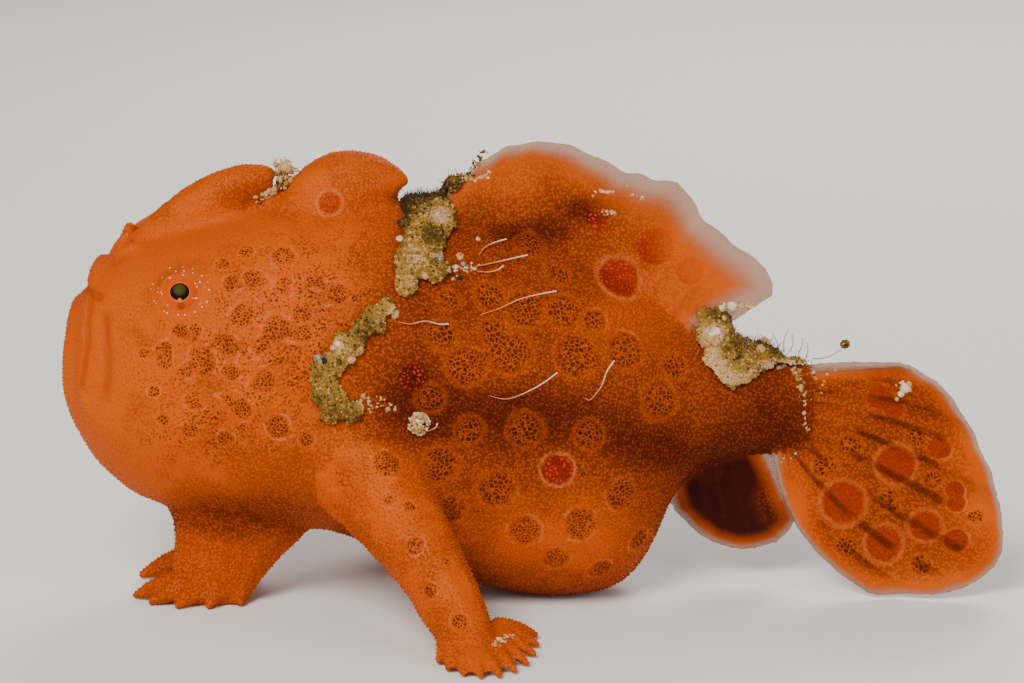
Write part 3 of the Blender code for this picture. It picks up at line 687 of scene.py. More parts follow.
# %% Places of rays
RAYS = {
    "dorsal": (
        (-9.2, 36.2), (15.4, 24.6), None,
        [(-8.2, 39.7), (-6.1, 41.4), (-3.8, 43.0), (-1.2, 44.0), (1.8, 44.1), (5.2, 43.0), (8.6, 41.2),
         (11.4, 40.5), (13.7, 40.2), (16.0, 36.7), (19.1, 34.1), (22.1, 31.9), (22.8, 29.3)],
    ),
    "anal": (
        (12.2, 12.6), (21.6, 15.4), None,
        [(13.6, 7.4), (15.4, 5.5), (17.3, 3.9), (19.3, 3.3), (21.5, 3.2), (23.8, 3.9), (25.6, 6.4)],
    ),
    "caudal": (
        (24.2, 22.0), (22.9, 14.7), (5, -89),
        [(34.5, 23.4), (38.2, 21.6), (40.9, 18.0), (42.8, 14.4), (44.1, 10.8), (45.0, 6.7), (44.3, 3.3),
         (41.6, 1.2), (37.2, 0.4), (32.2, 0.6)],
    ),
}
# How wide the clear margin is, by the place along the fish, in millimetres
CLEAR_MARGIN = {
    "dorsal": ((-8, 0, 10, 20), (0.9, 1.5, 2.9, 3.6)), "anal": ((0,), (0.9,)), "caudal": ((0,), (0.8,)),
}
# How strongly the rays show
STREAKS = {"dorsal": 0.15, "anal": 0.6, "caudal": 1.0}
# How far the margin bulges between two rays, and how deep into the fin that reaches, in millimetres
BULGE = {"dorsal": 0.30, "anal": 0.14, "caudal": 0.24}
BULGE_REACH = 5.0
RAY_REACH = 0.56
CURL = 1.7
RAY_POINTS = 12
STREAK_ROUNDS = 3
print(len(RAYS), "fins,", sum(len(fin[3]) for fin in RAYS.values()), "rays")


# %% Find the rays on the skin
def ray_lines(first, last, angles, tips):
    """The rays of a fin as lines seen from the side, in metres."""
    first, last = Vector(first), Vector(last)
    lines = []
    for k, tip in enumerate(tips):
        share = k / (len(tips) - 1)
        root, tip = first.lerp(last, share), Vector(tip)
        control = root.lerp(tip, 0.5)
        if angles:
            angle = math.radians(angles[0] + (angles[1] - angles[0]) * share**CURL)
            control = root + Vector((math.cos(angle), math.sin(angle))) * (tip - root).length * RAY_REACH
        steps = np.linspace(0, 1, RAY_POINTS)
        lines.append(np.array([root.lerp(control, t).lerp(control.lerp(tip, t), t) for t in steps]) * MM)
    return lines


side_view = places[:, [0, 2]]
marks["ray"] = np.zeros(len(places))
marks["margin"] = np.full(len(places), FAR)
streaks = sum(comes_from(name) * share for name, share in STREAKS.items())
marks["streak"] = web.smooth(streaks, STREAK_ROUNDS)
for name, fin in RAYS.items():
    of_fin = comes_from(name) > 0
    lines = ray_lines(*fin)
    away = np.stack([distance_to_line(side_view[of_fin], line) for line in lines])
    nearest = np.argsort(away, axis=0)[:2]
    low, high = np.sort(nearest, axis=0)
    to_low, to_high = (np.take_along_axis(away, row[None], 0)[0] for row in (low, high))
    marks["ray"][of_fin] = low + to_low / (to_low + to_high)
    edge = np.concatenate([lines[0], [line[-1] for line in lines[1:-1]], lines[-1][::-1]])
    width = np.interp(side_view[of_fin, 0] / MM, *CLEAR_MARGIN[name]) * MM
    inward = distance_to_line(side_view[of_fin], edge)
    marks["margin"][of_fin] = np.minimum(inward / width, FAR)
    out = side_view[of_fin] - (lines[0][0] + lines[-1][0]) / 2
    out /= np.linalg.norm(out, axis=1)[:, None]
    swelling = BULGE[name] * MM * (0.5 - 0.5 * np.cos(2 * math.pi * marks["ray"][of_fin]))
    swelling *= np.clip(1 - inward / MM / BULGE_REACH, 0, 1)
    places[np.ix_(of_fin, [0, 2])] += out * swelling[:, None]
marks["fin"] = web.smooth(on_fins, STREAK_ROUNDS)
print((marks["margin"] < 1).sum(), "points in clear margins")

# %% Keep it on the floor and store it
places[:, 2] = np.maximum(places[:, 2], 0)
move_skin(places)
skin.data.shade_smooth()
store_marks(skin.data, marks)
print("skin, mm:", ((places.max(0) - places.min(0)) / MM).round(1), "marks:", sorted(marks))

# %% [markdown]
# ## Skin colours
# One recipe paints both the skin and the prickles on it, so the markings run through. It starts with orange
# and rust, mixed by the tone. Irregular cells give the pigment its grain: dark cells fill each rosette,
# parted by orange lines, and an orange ring lies round it. The red spots are dotted with bright red, and
# the largest have a pink ring. On a fin the rays show as dark streaks, and the margin fades to pale and
# lets light through.

# %% Skin colours
ORANGE = (0.53, 0.080, 0.0, 1)
DEEP_ORANGE = (0.34, 0.047, 0.0, 1)
RUST = (0.105, 0.010, 0.0, 1)
PIGMENT = (0.040, 0.004, 0.0, 1)
MAROON = (0.034, 0.0010, 0.0, 1)
RED = (0.20, 0.011, 0.0, 1)
BRIGHT_RED = (0.60, 0.034, 0.0, 1)
PINK = (0.64, 0.15, 0.05, 1)
WEB_PALE = (0.34, 0.20, 0.115, 1)
DARK_RED = (0.055, 0.0035, 0.0, 1)
GRAIN = 0.28 * MM
ROSETTE_CELL = 0.42 * MM
HEAD_CELL = 0.31 * MM
FRECKLE = 0.30 * MM
CLOUD = 4.0 * MM
SPECKLE = 0.20 * MM
RAGGED, BROKEN, CLUSTER, WOBBLE, PATCHY = (size * MM for size in (1.4, 1.2, 1.6, 2.0, 0.7))
print("cells of", round(GRAIN / MM, 2), "mm")


# %% Skin recipe
def paint_skin(paint, tip):
    """Feeds a material with the fish's colours and painted shade. Tip is 0 on the ground and 1 at the point
    of a prickle.
    """
    # The tone holds the fish's orange to rust, and the painted shade under the pelvic fins and belly
    tone = paint.attribute("tone") + (paint.noise(CLOUD, 3) - 0.5) * 0.30
    rosette, ocellus = paint.attribute("rosette"), paint.attribute("ocellus")
    margin, fin, ray = paint.attribute("margin"), paint.attribute("fin"), paint.attribute("ray")
    freckle, streak = paint.attribute("freckle"), paint.attribute("streak")
    grain, dot = paint.cells(GRAIN), paint.cells(FRECKLE)
    border = paint.cells(ROSETTE_CELL, "DISTANCE_TO_EDGE")
    fine = paint.cells(HEAD_CELL, "DISTANCE_TO_EDGE")
    on_body = tone.ramp(0.10, 0.30)
    border = border * on_body + fine * (1 - on_body)
    speckle = paint.noise(SPECKLE, 1)

    paint.colour = ORANGE
    paint.over(tone.ramp(0.0, 0.42), DEEP_ORANGE)
    paint.over(tone.ramp(0.40, 0.95), RUST)
    paint.over(tone.ramp(0.95, 1.25), MAROON)
    granule = (grain.ramp(0.50, 0.10) * 0.24 + tip * 0.12) * tone.ramp(0.03, 0.4) * tone.ramp(1.25, 0.9)
    paint.over(granule, ORANGE)
    network = grain.ramp(0.34, 0.58) * (tone.ramp(0.02, 0.10) * 0.32 + tone.ramp(0.10, 0.45) * 0.22)
    paint.over(network * tone.ramp(1.25, 0.9), PIGMENT)

    edge = rosette + (paint.noise(RAGGED, 1) - 0.5) * 0.5
    inside = edge.ramp(1.08, 0.80)
    halo = edge.ramp(1.50, 1.15) * edge.ramp(0.95, 1.10)
    paint.over(halo * 0.25, ORANGE)
    hairline = edge.ramp(1.32, 1.20) * edge.ramp(1.04, 1.14) * paint.noise(BROKEN, 1).ramp(0.45, 0.62)
    paint.over(hairline * (1 - on_body) * 0.5, PINK)
    cell = (border + 0.06 + (speckle - 0.5) * 0.16).ramp(0.13, 0.24)
    paint.over(inside * (1 - cell) * tone.ramp(0.05, 0.35) * 0.4, ORANGE)
    paint.over(inside * cell * (0.84 - tone.ramp(0.05, 0.35) * 0.08), PIGMENT)
    clusters = paint.noise(CLUSTER, 2).ramp(0.36, 0.60) + freckle * 0.25
    paint.over(dot.ramp(0.50, 0.28) * clusters * freckle * rosette.ramp(0.9, 1.3) * 0.68, PIGMENT)

    wobble = (paint.noise(WOBBLE, 1) - 0.5) * 0.15
    rim, ring = ocellus + wobble, paint.attribute("ring") + wobble
    patchy = paint.noise(PATCHY, 2).ramp(0.30, 0.60) * 0.34 + 0.16
    paint.over(ring.ramp(1.44, 1.22) * ring.ramp(1.04, 1.16) * patchy * (1 - fin * 0.5), PINK)
    glow = (border + (speckle - 0.5) * 0.12).ramp(0.13, 0.27) * 0.75 + tip * 0.12
    spot = paint.mix(tone.ramp(0.38, 0.75), RED, DARK_RED)
    spot = paint.mix(glow * tone.ramp(1.2, 0.8), spot, BRIGHT_RED)
    strength = (0.5 + tone.ramp(0.0, 0.25) * 0.5) * (1 - streak * 0.45)
    paint.over(rim.ramp(1.08, 0.92) * strength, spot)

    on_ray = (ray * (2 * math.pi)).cosine().ramp(0.35, 1.0) * streak * margin.ramp(1.2, 3.5)
    paint.over(on_ray * paint.noise(CLOUD, 2).ramp(0.40, 0.60) * 0.68, PIGMENT)
    paint.over(fin * margin.ramp(2.4, 0.5) * 0.75, ORANGE)
    thin = fin * margin.ramp(1.1, 0.2)
    paint.over(thin * 0.7, WEB_PALE)
    # Painted shade in the creases, in deep orange
    paint.over(paint.attribute("crease_shade"), DEEP_ORANGE)
    paint.finish("Base Color", paint.colour)
    return grain, thin


print("skin recipe ready")

# %% Paint the skin
SKIN_GLOSS = 0.08
PRICKLE_ROUGHNESS = 0.6
GRAIN_RELIEF, RELIEF_STRENGTH = 0.08 * MM, 0.6
skin_paint = Paint("skin", PRICKLE_ROUGHNESS, SKIN_GLOSS)
grain, thin_edge = paint_skin(skin_paint, 0.0)
skin_paint.finish("Roughness", 0.42 + grain * 0.25)
skin_paint.finish("Alpha", 1 - thin_edge * 0.4)
skin_paint.bump(grain, GRAIN_RELIEF, RELIEF_STRENGTH)
skin.data.materials.clear()
skin.data.materials.append(skin_paint.material)
print(len(skin_paint.tree.nodes), "nodes in the skin's material")

# %% [markdown]
# ## A velvet of prickles
# A frogfish has no scales. Close-set prickles, each a sixth of a millimetre high, make its skin velvety,
# and they show as a fine fringe along its outline. Placing 50,000 by hand is hopeless, so Geometry Nodes
# scatter points over the skin, none nearer than a set distance to another, and stand a small pyramid on
# each. The points inherit the marks of the skin, so the prickles carry the same pattern.

# %% Recipes for Geometry Nodes
class Recipe(Graph):
    """A Geometry Nodes tree under construction, with a named input for each size."""

    def __init__(self, name, **sizes):
        self.tree = bpy.data.node_groups.new(name, "GeometryNodeTree")
        sockets = [("Geometry", "INPUT", "NodeSocketGeometry"), ("Geometry", "OUTPUT", "NodeSocketGeometry")]
        for name, in_out, kind in sockets:
            self.tree.interface.new_socket(name, in_out=in_out, socket_type=kind)
        for size, value in sizes.items():
            kind = "NodeSocketInt" if isinstance(value, int) else "NodeSocketFloat"
            self.tree.interface.new_socket(size, in_out="INPUT", socket_type=kind).default_value = value
        self.start = self.tree.nodes.new("NodeGroupInput")
        self.end = self.tree.nodes.new("NodeGroupOutput")

    def size(self, name):
        return self.start.outputs[name]

    def maths(self, operation, first, second):
        return self.node("ShaderNodeMath", {"operation": operation}, first, second).outputs[0]

    def named(self, name, kind="FLOAT"):
        return live_output(self.node("GeometryNodeInputNamedAttribute", {"data_type": kind}, Name=name))

    def store(self, geometry, name, value, kind="FLOAT"):
        settings = {"data_type": kind, "domain": "POINT"}
        inputs = dict(Geometry=geometry, Name=name, Value=value)
        return self.node("GeometryNodeStoreNamedAttribute", settings, **inputs).outputs[0]

    def chance(self, low, high, seed=0, kind="FLOAT"):
        """A random number for each point, or three of them."""
        node = self.node("FunctionNodeRandomValue", {"data_type": kind}, Min=low, Max=high, Seed=seed)
        return live_output(node)

    def cone(self, sides):
        return self.node(
            "GeometryNodeMeshCone", {"fill_type": "NGON"}, Vertices=sides, Radius_Top=0.0,
            Radius_Bottom=self.size("Radius"), Depth=self.size("Height"),
        ).outputs["Mesh"]

    def scatter(self, spacing, crowd, **inputs):
        """Points on the ground, none nearer to another than the spacing."""
        return self.node(
            "GeometryNodeDistributePointsOnFaces", {"distribute_method": "POISSON"},
            Mesh=self.size("Geometry"), Distance_Min=self.size("Spacing"), Density_Max=crowd / spacing**2,
            Seed=self.size("Seed"), **inputs,
        )

    def stand(self, points, shape, upright, lean, scale):
        """A shape on each point, leaning and turned at random."""
        turned = self.node(
            "FunctionNodeRotateRotation", {"rotation_space": "LOCAL"}, Rotation=upright, Rotate_By=lean
        )
        inputs = dict(Points=points, Instance=shape, Rotation=turned.outputs[0], Scale=scale)
        return self.node("GeometryNodeInstanceOnPoints", **inputs).outputs[0]

    def finish(self, geometry, material):
        realized = self.node("GeometryNodeRealizeInstances", Geometry=geometry).outputs[0]
        dressed = self.node("GeometryNodeSetMaterial", Geometry=realized, Material=material).outputs[0]
        self.tree.links.new(dressed, self.end.inputs["Geometry"])
        return self

    def grow_on(self, ground, name, **sizes):
        """What the recipe makes on an object, as a plain mesh object."""
        carrier = new_object(name, ground.data.copy())
        modifier = carrier.modifiers.new("recipe", "NODES")
        modifier.node_group = self.tree
        for item in self.tree.interface.items_tree:
            if item.in_out == "INPUT" and item.name in sizes:
                modifier[item.identifier] = sizes[item.name]
        return settle(carrier)


print("recipe tools ready")

# %% Prickle recipe
PRICKLE_SPACING = 0.31 * MM
PRICKLE_RADIUS = 0.11 * MM
PRICKLE_SIDES = 4
PRICKLE_CROWD, GROWTH_CROWD = 4, 3
SMALLEST, LARGEST = 0.75, 1.2
FULL_TURN = (0.5, 0.5, 6.28)
COAT_PARTS = ("coat_front", "coat_middle", "coat_rear")


def prickle_recipe(material):
    sizes = dict(Spacing=PRICKLE_SPACING, Radius=PRICKLE_RADIUS, Height=PRICKLE_HEIGHT)
    recipe = Recipe("prickles", Part=0, **sizes, Seed=5)
    is_part = recipe.node(
        "FunctionNodeCompare", {"data_type": "INT", "operation": "EQUAL"}, A=recipe.named("part", "INT"),
        B=recipe.size("Part"),
    )
    scatter = recipe.scatter(PRICKLE_SPACING, PRICKLE_CROWD, Selection=is_part.outputs[0])
    where = recipe.node("GeometryNodeInputPosition").outputs[0]
    rooted = recipe.store(scatter.outputs["Points"], "root", where, "FLOAT_VECTOR")
    height = recipe.node("ShaderNodeSeparateXYZ", Vector=where).outputs["Z"]
    share = recipe.maths("DIVIDE", height, recipe.size("Height"))
    shaped = recipe.store(recipe.cone(PRICKLE_SIDES), "tip", share)
    chance = recipe.chance(SMALLEST, LARGEST, recipe.size("Seed"))
    size = recipe.maths("MULTIPLY", chance, recipe.named("velvet"))
    lean = recipe.chance((0, 0, 0), FULL_TURN, kind="FLOAT_VECTOR")
    return recipe.finish(recipe.stand(rooted, shaped, scatter.outputs["Rotation"], lean, size), material)


print("prickles", round(PRICKLE_SPACING / MM, 2), "mm apart")

# %% Where prickles grow
HEAD_VELVET, MORE_ON_BODY, LESS_ON_FINS, LEAST_VELVET = 0.75, 0.35, 0.45, 0.25
BARE_MARGIN = 0.7
# Bare below the first height or distance, in millimetres, and full from the second
SOLES, ROUND_EYES = (0.25, 0.6), (1.9, 2.8)

bare_edge = marks["fin"] * (marks["margin"] < BARE_MARGIN)
on_body = web.smooth(comes_from("trunk", "tail_stalk", "pectoral", "pelvic"), 10)
velvet = (HEAD_VELVET + MORE_ON_BODY * on_body) * smooth_step(places[:, 2] / MM, *SOLES)
velvet *= 1 - LESS_ON_FINS * marks["fin"]
velvet *= 1 - np.clip(bare_edge, 0, 1)
for centre, radius, aim, _ in eyes.values():
    away = np.linalg.norm(places - np.array(centre + aim * radius), axis=1)
    velvet *= smooth_step(away / MM, *ROUND_EYES)
# No prickles where shade is painted in the creases
velvet *= 1 - crease_shade
velvet[velvet < LEAST_VELVET] = 0
part_edges = np.quantile(places[velvet > 0, 0], [1 / 3, 2 / 3])
store_marks(skin.data, {"velvet": velvet, "part": np.digitize(places[:, 0], part_edges)})
print(f"prickles on {(velvet > 0).mean():.0%} of the skin")

# %% [markdown]
# A texture map needs to know where each prickle lies on the fish, or the export would mix up their colours.
# So the solids are unwrapped once, and each prickle takes a tiny patch of the map at its root.

# %% Map of the skin
PATCH = 0.003
SEAM_ANGLE = math.radians(66)
ISLAND_GAP = 0.004


def unwrap(obj):
    """Flattens an object's surface into a map, and gives each triangle's corners there."""
    bpy.context.view_layer.objects.active = obj
    obj.select_set(True)
    bpy.ops.object.mode_set(mode="EDIT")
    bpy.ops.mesh.select_all(action="SELECT")
    bpy.ops.uv.smart_project(angle_limit=SEAM_ANGLE, island_margin=ISLAND_GAP)
    bpy.ops.object.mode_set(mode="OBJECT")
    return numbers_of(obj.data.uv_layers.active.data, "uv", 2).reshape(-1, 3, 2)


outline, _ = joined_copy(SKIN_NODES)
outline_tree = BVHTree.FromBMesh(outline)
outline_mesh = as_mesh(outline, "outline")
outline_object = new_object("outline", outline_mesh)
map_corners = unwrap(outline_object)
triangle_points = points_of(outline_mesh)[np.array([face.vertices[:] for face in outline_mesh.polygons])]
bpy.data.objects.remove(outline_object)
print(len(map_corners), "triangles on the map")


def on_map(roots):
    """The places of points on the map."""
    found = [outline_tree.find_nearest(Vector(root)) for root in roots]
    index = np.array([item[2] for item in found])
    hits = np.array([item[0] for item in found])
    a, b, c = (triangle_points[index][:, k] for k in range(3))
    across, up, out = b - a, c - a, hits - a
    aa, ab, bb = (across**2).sum(1), (across * up).sum(1), (up**2).sum(1)
    oa, ob = (out * across).sum(1), (out * up).sum(1)
    area = aa * bb - ab * ab + 1e-30
    v, w = (bb * oa - ab * ob) / area, (aa * ob - ab * oa) / area
    shares = np.clip(np.stack([1 - v - w, v, w], axis=1), 0, 1)
    return (map_corners[index] * shares[:, :, None]).sum(1)


# %% Grow the coat
coat_paint = Paint("velvet", PRICKLE_ROUGHNESS, SKIN_GLOSS)
paint_skin(coat_paint, coat_paint.attribute("tip"))
recipe = prickle_recipe(coat_paint.material)
PRICKLE_POINTS = PRICKLE_SIDES + 1
around = np.array([(-1, -1), (1, -1), (1, 1), (-1, 1)]) * PATCH / 2
for part, name in enumerate(COAT_PARTS):
    coat = recipe.grow_on(skin, name, Part=part)
    mesh = coat.data
    roots = numbers_of(mesh.attributes["root"].data, "vector", 3).reshape(-1, PRICKLE_POINTS, 3)[:, 0]
    tips = numbers_of(mesh.attributes["tip"].data, "value")
    offsets = np.zeros((PRICKLE_POINTS, 2))
    offsets[tips[:PRICKLE_POINTS] < 0.5] = around
    patches = (on_map(roots)[:, None] + offsets[None]).reshape(-1, 2)
    owners_of_corners = numbers_of(mesh.loops, "vertex_index", kind=np.int32)
    layer = mesh.uv_layers.new(name="OFBake")
    layer.data.foreach_set("uv", patches[owners_of_corners].astype(np.float32).ravel())
    mesh.attributes.remove(mesh.attributes["root"])
    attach(coat, "root")
    print(name, len(roots), "prickles,", triangle_count(mesh), "triangles")

# %% [markdown]
# ## Small shapes
# Dots, knobs, grains and threads are many and tiny. One object for each would be slow and hard to handle,
# so a `Heap` gathers such shapes into one mesh and gives every point a colour, which the material reads.

# %% Heaps
TINT_CURVE = 2.2


class Heap:
    """Small shapes gathered into one mesh, each with a colour of its own."""

    def __init__(self):
        self.points, self.faces, self.tints = [], [], []

    def add(self, points, faces, tints):
        first = len(self.points)
        self.points += [Vector(point) for point in points]
        self.faces += [tuple(first + k for k in face) for face in faces]
        self.tints += tints

    def ball(self, centre, radius, tint, squash=1.0, aim=(0, 0, 1), smooth=2, rough=0.0):
        """A ball flattened along an axis, and roughened."""
        bm = bmesh.new()
        bmesh.ops.create_icosphere(bm, subdivisions=smooth, radius=1)
        turn = Vector(aim).to_track_quat("Z", "Y")
        points = []
        for vert in bm.verts:
            out = vert.co * (1 + rough * random.uniform(-1, 1))
            points.append(Vector(centre) + turn @ Vector((out.x, out.y, out.z * squash)) * radius)
        self.add(points, [[v.index for v in face.verts] for face in bm.faces], [tint] * len(points))
        bm.free()

    def thread(self, line, radii, tints, sides=6):
        """A tube along a line, closed at both ends. Radii and tints run from its start to its end."""
        line = [Vector(point) for point in line]
        count = len(line)
        points, colours = [], []
        for k, centre in enumerate(line):
            share = k / (count - 1)
            along = line[min(k + 1, count - 1)] - line[max(k - 1, 0)]
            turn = along.to_track_quat("Z", "Y")
            radius = radii[0] + (radii[1] - radii[0]) * share
            tint = tuple(a + (b - a) * share**TINT_CURVE for a, b in zip(*tints))
            for side in range(sides):
                angle = 2 * math.pi * side / sides
                points.append(centre + turn @ Vector((math.cos(angle), math.sin(angle), 0)) * radius)
                colours.append(tint)
        faces = [list(range(sides))[::-1], [(count - 1) * sides + side for side in range(sides)]]
        for k in range(count - 1):
            for side in range(sides):
                a, b = k * sides + side, k * sides + (side + 1) % sides
                faces.append([a, b, b + sides, a + sides])
        self.add(points, faces, colours)

    def make(self, name, material, smooth=True):
        mesh = bpy.data.meshes.new(name)
        mesh.from_pydata(self.points, [], self.faces)
        layer = mesh.attributes.new("tint", "FLOAT_COLOR", "POINT")
        layer.data.foreach_set("color", np.array([(*tint[:3], 1) for tint in self.tints], np.float32).ravel())
        mesh.materials.append(material)
        if smooth:
            mesh.shade_smooth()
        return new_object(name, mesh)


print("heaps ready")


# %% Pieces and lines
def show(piece, slot, *replaced):
    """Puts a finished piece on the fish's only body."""
    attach(piece, "root")
    if replaced:
        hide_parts(*replaced)
    return piece


def smooth_line(points, steps=5):
    """A curve through points, by Catmull and Rom's rule."""
    points = [Vector(point) for point in points]
    ends = [points[0] * 2 - points[1]] + points + [points[-1] * 2 - points[-2]]
    line = []
    for a, b, c, d in zip(ends, ends[1:], ends[2:], ends[3:]):
        for k in range(steps):
            t = k / steps
            bend = (a * 2 - b * 5 + c * 4 - d) * t**2 + (b * 3 - a - c * 3 + d) * t**3
            line.append((b * 2 + (c - a) * t + bend) / 2)
    return line + [points[-1]]


def any_way():
    """A random step, at most 1 along each axis."""
    return Vector([random.uniform(-1, 1) for _ in range(3)])


print("line helpers ready")

# %% Colours of small shapes
random.seed(4)
SNOW = (0.86, 0.76, 0.66)
WHITE, CREAM, SHELL_PINK = (0.72, 0.57, 0.40), (0.52, 0.31, 0.12), (0.60, 0.32, 0.20)
GOLD, OLIVE, BARK = (0.29, 0.145, 0.012), (0.135, 0.065, 0.004), (0.040, 0.020, 0.004)
GREY, BLACK, TAN = (0.30, 0.28, 0.24), (0.010, 0.009, 0.008), (0.46, 0.25, 0.08)
BLUSH, FLUSH = (0.72, 0.24, 0.12), (0.66, 0.16, 0.07)
DUST, DUST_CLOUD = (0.05, 0.035, 0.01, 1), 0.35 * MM


def tint_paint(name, roughness, specular):
    """A material that takes its colour from the piece."""
    paint = Paint(name, roughness, specular)
    paint.colour = paint.node("ShaderNodeAttribute", {"attribute_name": "tint"}).outputs["Color"]
    paint.over(paint.noise(DUST_CLOUD, 2).ramp(0.45, 0.75) * 0.35, DUST)
    paint.finish("Base Color", paint.colour)
    return paint.material


grit_material = tint_paint("grit", 0.6, 0.3)
thread_material = tint_paint("thread", 0.4, 0.3)
skin_tree = BVHTree.FromPolygons(points_of(skin.data).tolist(), [p.vertices[:] for p in skin.data.polygons])
print("grit and thread painted")

# %% [markdown]
# ## Eyes
# Each eye is a ball with a pupil that has a notch below, rimmed with gold. A picture on the ball could show
# that, but formulas of the distance from the pupil's middle stay sharp at any size. The pupil's upper part
# holds a soft olive painted highlight. White dots ring the eye on ball and skin, each at its own pixel.

# %% Sizes and colours of an eye
PUPIL = 0.90 * MM
NOTCH = (0.02, -0.80, 0.20)
IRIS, GILT = (0.55, 0.050, 0.0, 1), (0.72, 0.19, 0.0, 1)
# The lens is near black; the olive second colour is a painted highlight in the pupil's upper part
LENS, LENS_HIGHLIGHT = (0.004, 0.003, 0.001, 1), (0.055, 0.042, 0.006, 1)
BALL_SEGMENTS, BALL_RINGS = 72, 48
PROUD = 0.01 * MM
DOT_RADIUS = 0.095 * MM
WHITE_DOTS = [
    (170, 268, 1.1), (176, 271, 1.0), (184, 271, 1.2), (183, 267, 0.9), (193, 269, 0.7), (183, 275, 0.9),
    (170, 278, 1.1), (162, 278, 0.9), (153, 284, 1.0), (202, 276, 1.1), (193, 273, 0.7), (195, 284, 0.9),
    (200, 282, 1.0), (197, 287, 0.9), (209, 290, 1.1), (207, 302, 1.1), (202, 307, 1.2), (200, 304, 0.7),
    (195, 312, 1.0), (185, 315, 1.1), (178, 315, 0.9), (167, 313, 1.0), (164, 311, 0.8), (168, 305, 0.7),
    (158, 292, 1.0), (161, 292, 0.9), (158, 288, 0.8), (162, 294, 0.7), (154, 301, 0.9), (194, 298, 1.0),
    (196, 298, 0.8), (151, 289, 0.6), (208, 282, 0.8), (156, 303, 0.6), (191, 298, 0.6),
]
print("pupil", round(PUPIL / MM, 2), "mm in radius")

# %% Eye colours
eye_paint = Paint("eye", 0.45, 0.06, IRIS)
across, up = eye_paint.attribute("across"), eye_paint.attribute("up")
round_about = (across * across + up * up * 1.20).power(0.5)
notch = ((across - NOTCH[0]).power(2) + (up - NOTCH[1]).power(2)).power(0.5)
pupil = round_about.ramp(PUPIL / MM + 0.03, PUPIL / MM - 0.03) * notch.ramp(NOTCH[2] - 0.04, NOTCH[2] + 0.04)
gold_rim = round_about.ramp(PUPIL / MM + 0.12, PUPIL / MM + 0.04).most(
    notch.ramp(NOTCH[2] + 0.02, NOTCH[2] - 0.01) * notch.ramp(NOTCH[2] - 0.14, NOTCH[2] - 0.08)
)
smudge = ((across - 0.12).power(2) * 5 + (up + 1.25).power(2) * 6).ramp(1.0, 0.2) * 0.5
# Painted highlight: soft olive light in the pupil, above its middle
pupil_highlight = (across * across + (up - 0.2).power(2)).ramp(0.55, 0.0)
eye_paint.over(round_about.ramp(0.9, 1.9), ORANGE)
eye_paint.over(smudge, RUST)
eye_paint.over(gold_rim * 0.8, GILT)
# The dark pupil, with its painted highlight
eye_paint.over(pupil, eye_paint.mix(pupil_highlight, LENS, LENS_HIGHLIGHT))
print("eyes painted")

# %% Eyeballs
dots = Heap()
for side, (centre, radius, aim, flip) in eyes.items():
    bm = bmesh.new()
    bmesh.ops.create_uvsphere(bm, u_segments=BALL_SEGMENTS, v_segments=BALL_RINGS, radius=radius)
    turn = aim.to_track_quat("Z", "Y")
    upward = (Vector((0, 0, 1)) - aim * aim.z).normalized()
    sideward = (upward * flip).cross(eye_aim) * flip
    mesh = as_mesh(bm, EYES[side])
    mesh.transform(Matrix.Translation(centre) @ turn.to_matrix().to_4x4())
    away = points_of(mesh) - np.array(centre)
    store_marks(mesh, {"across": away @ np.array(sideward) / MM, "up": away @ np.array(upward) / MM})
    eye_paint.cover(mesh)
    mesh.shade_smooth()
    show(new_object(f"eyeball_{side}", mesh), "eye_dark", EYES[side])
    for px, py, size in WHITE_DOTS:
        from_eye = skin_tree.ray_cast(camera_place, sight_line(px, py))[0] - eyes["left"][0]
        place = centre + from_eye.normalized() * max(from_eye.length, radius + PROUD) * flip
        dots.ball(place, DOT_RADIUS * size, SNOW, 0.6, from_eye * flip, 1)
show(dots.make("eye_dots", thread_material), "bait_white")
print(len(WHITE_DOTS), "white dots a side")

# %% [markdown]
# ## Crusts
# Three patches of coralline grit ride on the fish. Each is the solid's own shape, covered by three growths
# that Geometry Nodes scatter on it: large grains, fine beads and fuzz. Soft washes placed by pixel say
# where the grit is pale and where the fuzz is thick.

# %% Washes and growths of the crusts
CRUSTS = ("crust_nape", "crust_shoulder", "crust_stalk")
# Pixel, radius across and down in pixels, and how much paler
CRUST_WASHES = [
    (425, 190, 40, 12, -0.7), (404, 205, 10, 25, -0.5), (442, 212, 14, 18, 0.5), (415, 240, 10, 22, 0.35),
    (437, 218, 8, 8, 0.3), (432, 228, 14, 8, -0.35), (430, 240, 16, 9, -0.25), (436, 254, 14, 8, 0.35),
    (412, 262, 12, 10, 0.25), (408, 285, 16, 12, 0.30), (410, 300, 16, 5, -0.1), (395, 312, 10, 10, 0.55),
    (368, 335, 20, 14, -0.12), (334, 346, 12, 10, 0.55), (350, 360, 7, 7, 0.3), (325, 385, 14, 18, 0.0),
    (346, 385, 12, 14, 0.25), (343, 408, 20, 14, -0.15), (366, 402, 10, 8, 0.5), (714, 332, 14, 10, 0.6),
    (708, 350, 10, 14, 0.4), (716, 366, 10, 14, 0.6), (735, 378, 24, 8, 0.5), (740, 350, 16, 14, -0.05),
    (770, 340, 8, 12, 0.2), (785, 338, 24, 12, -0.7), (785, 365, 30, 7, 0.5), (730, 316, 18, 8, -0.35),
]
GROWTHS = {
    "grain": dict(spacing=0.60, radius=0.22, low=0.5, high=1.4, level=1, spread=0.7),
    "bead": dict(spacing=0.22, radius=0.11, low=0.4, high=1.4, level=1, spread=1.1),
    "fuzz": dict(spacing=0.20, radius=0.035, low=0.4, high=1.4, level=0, spread=0.6),
}
CRUST_PALE = 0.27
FUZZ_HEIGHT = 0.75 * MM
FUZZ_SIDES = 3
DARKER_FUZZ = 0.45
MOTTLE, PITS = 0.5 * MM, 0.22 * MM
print(len(CRUST_WASHES), "washes on the crusts")


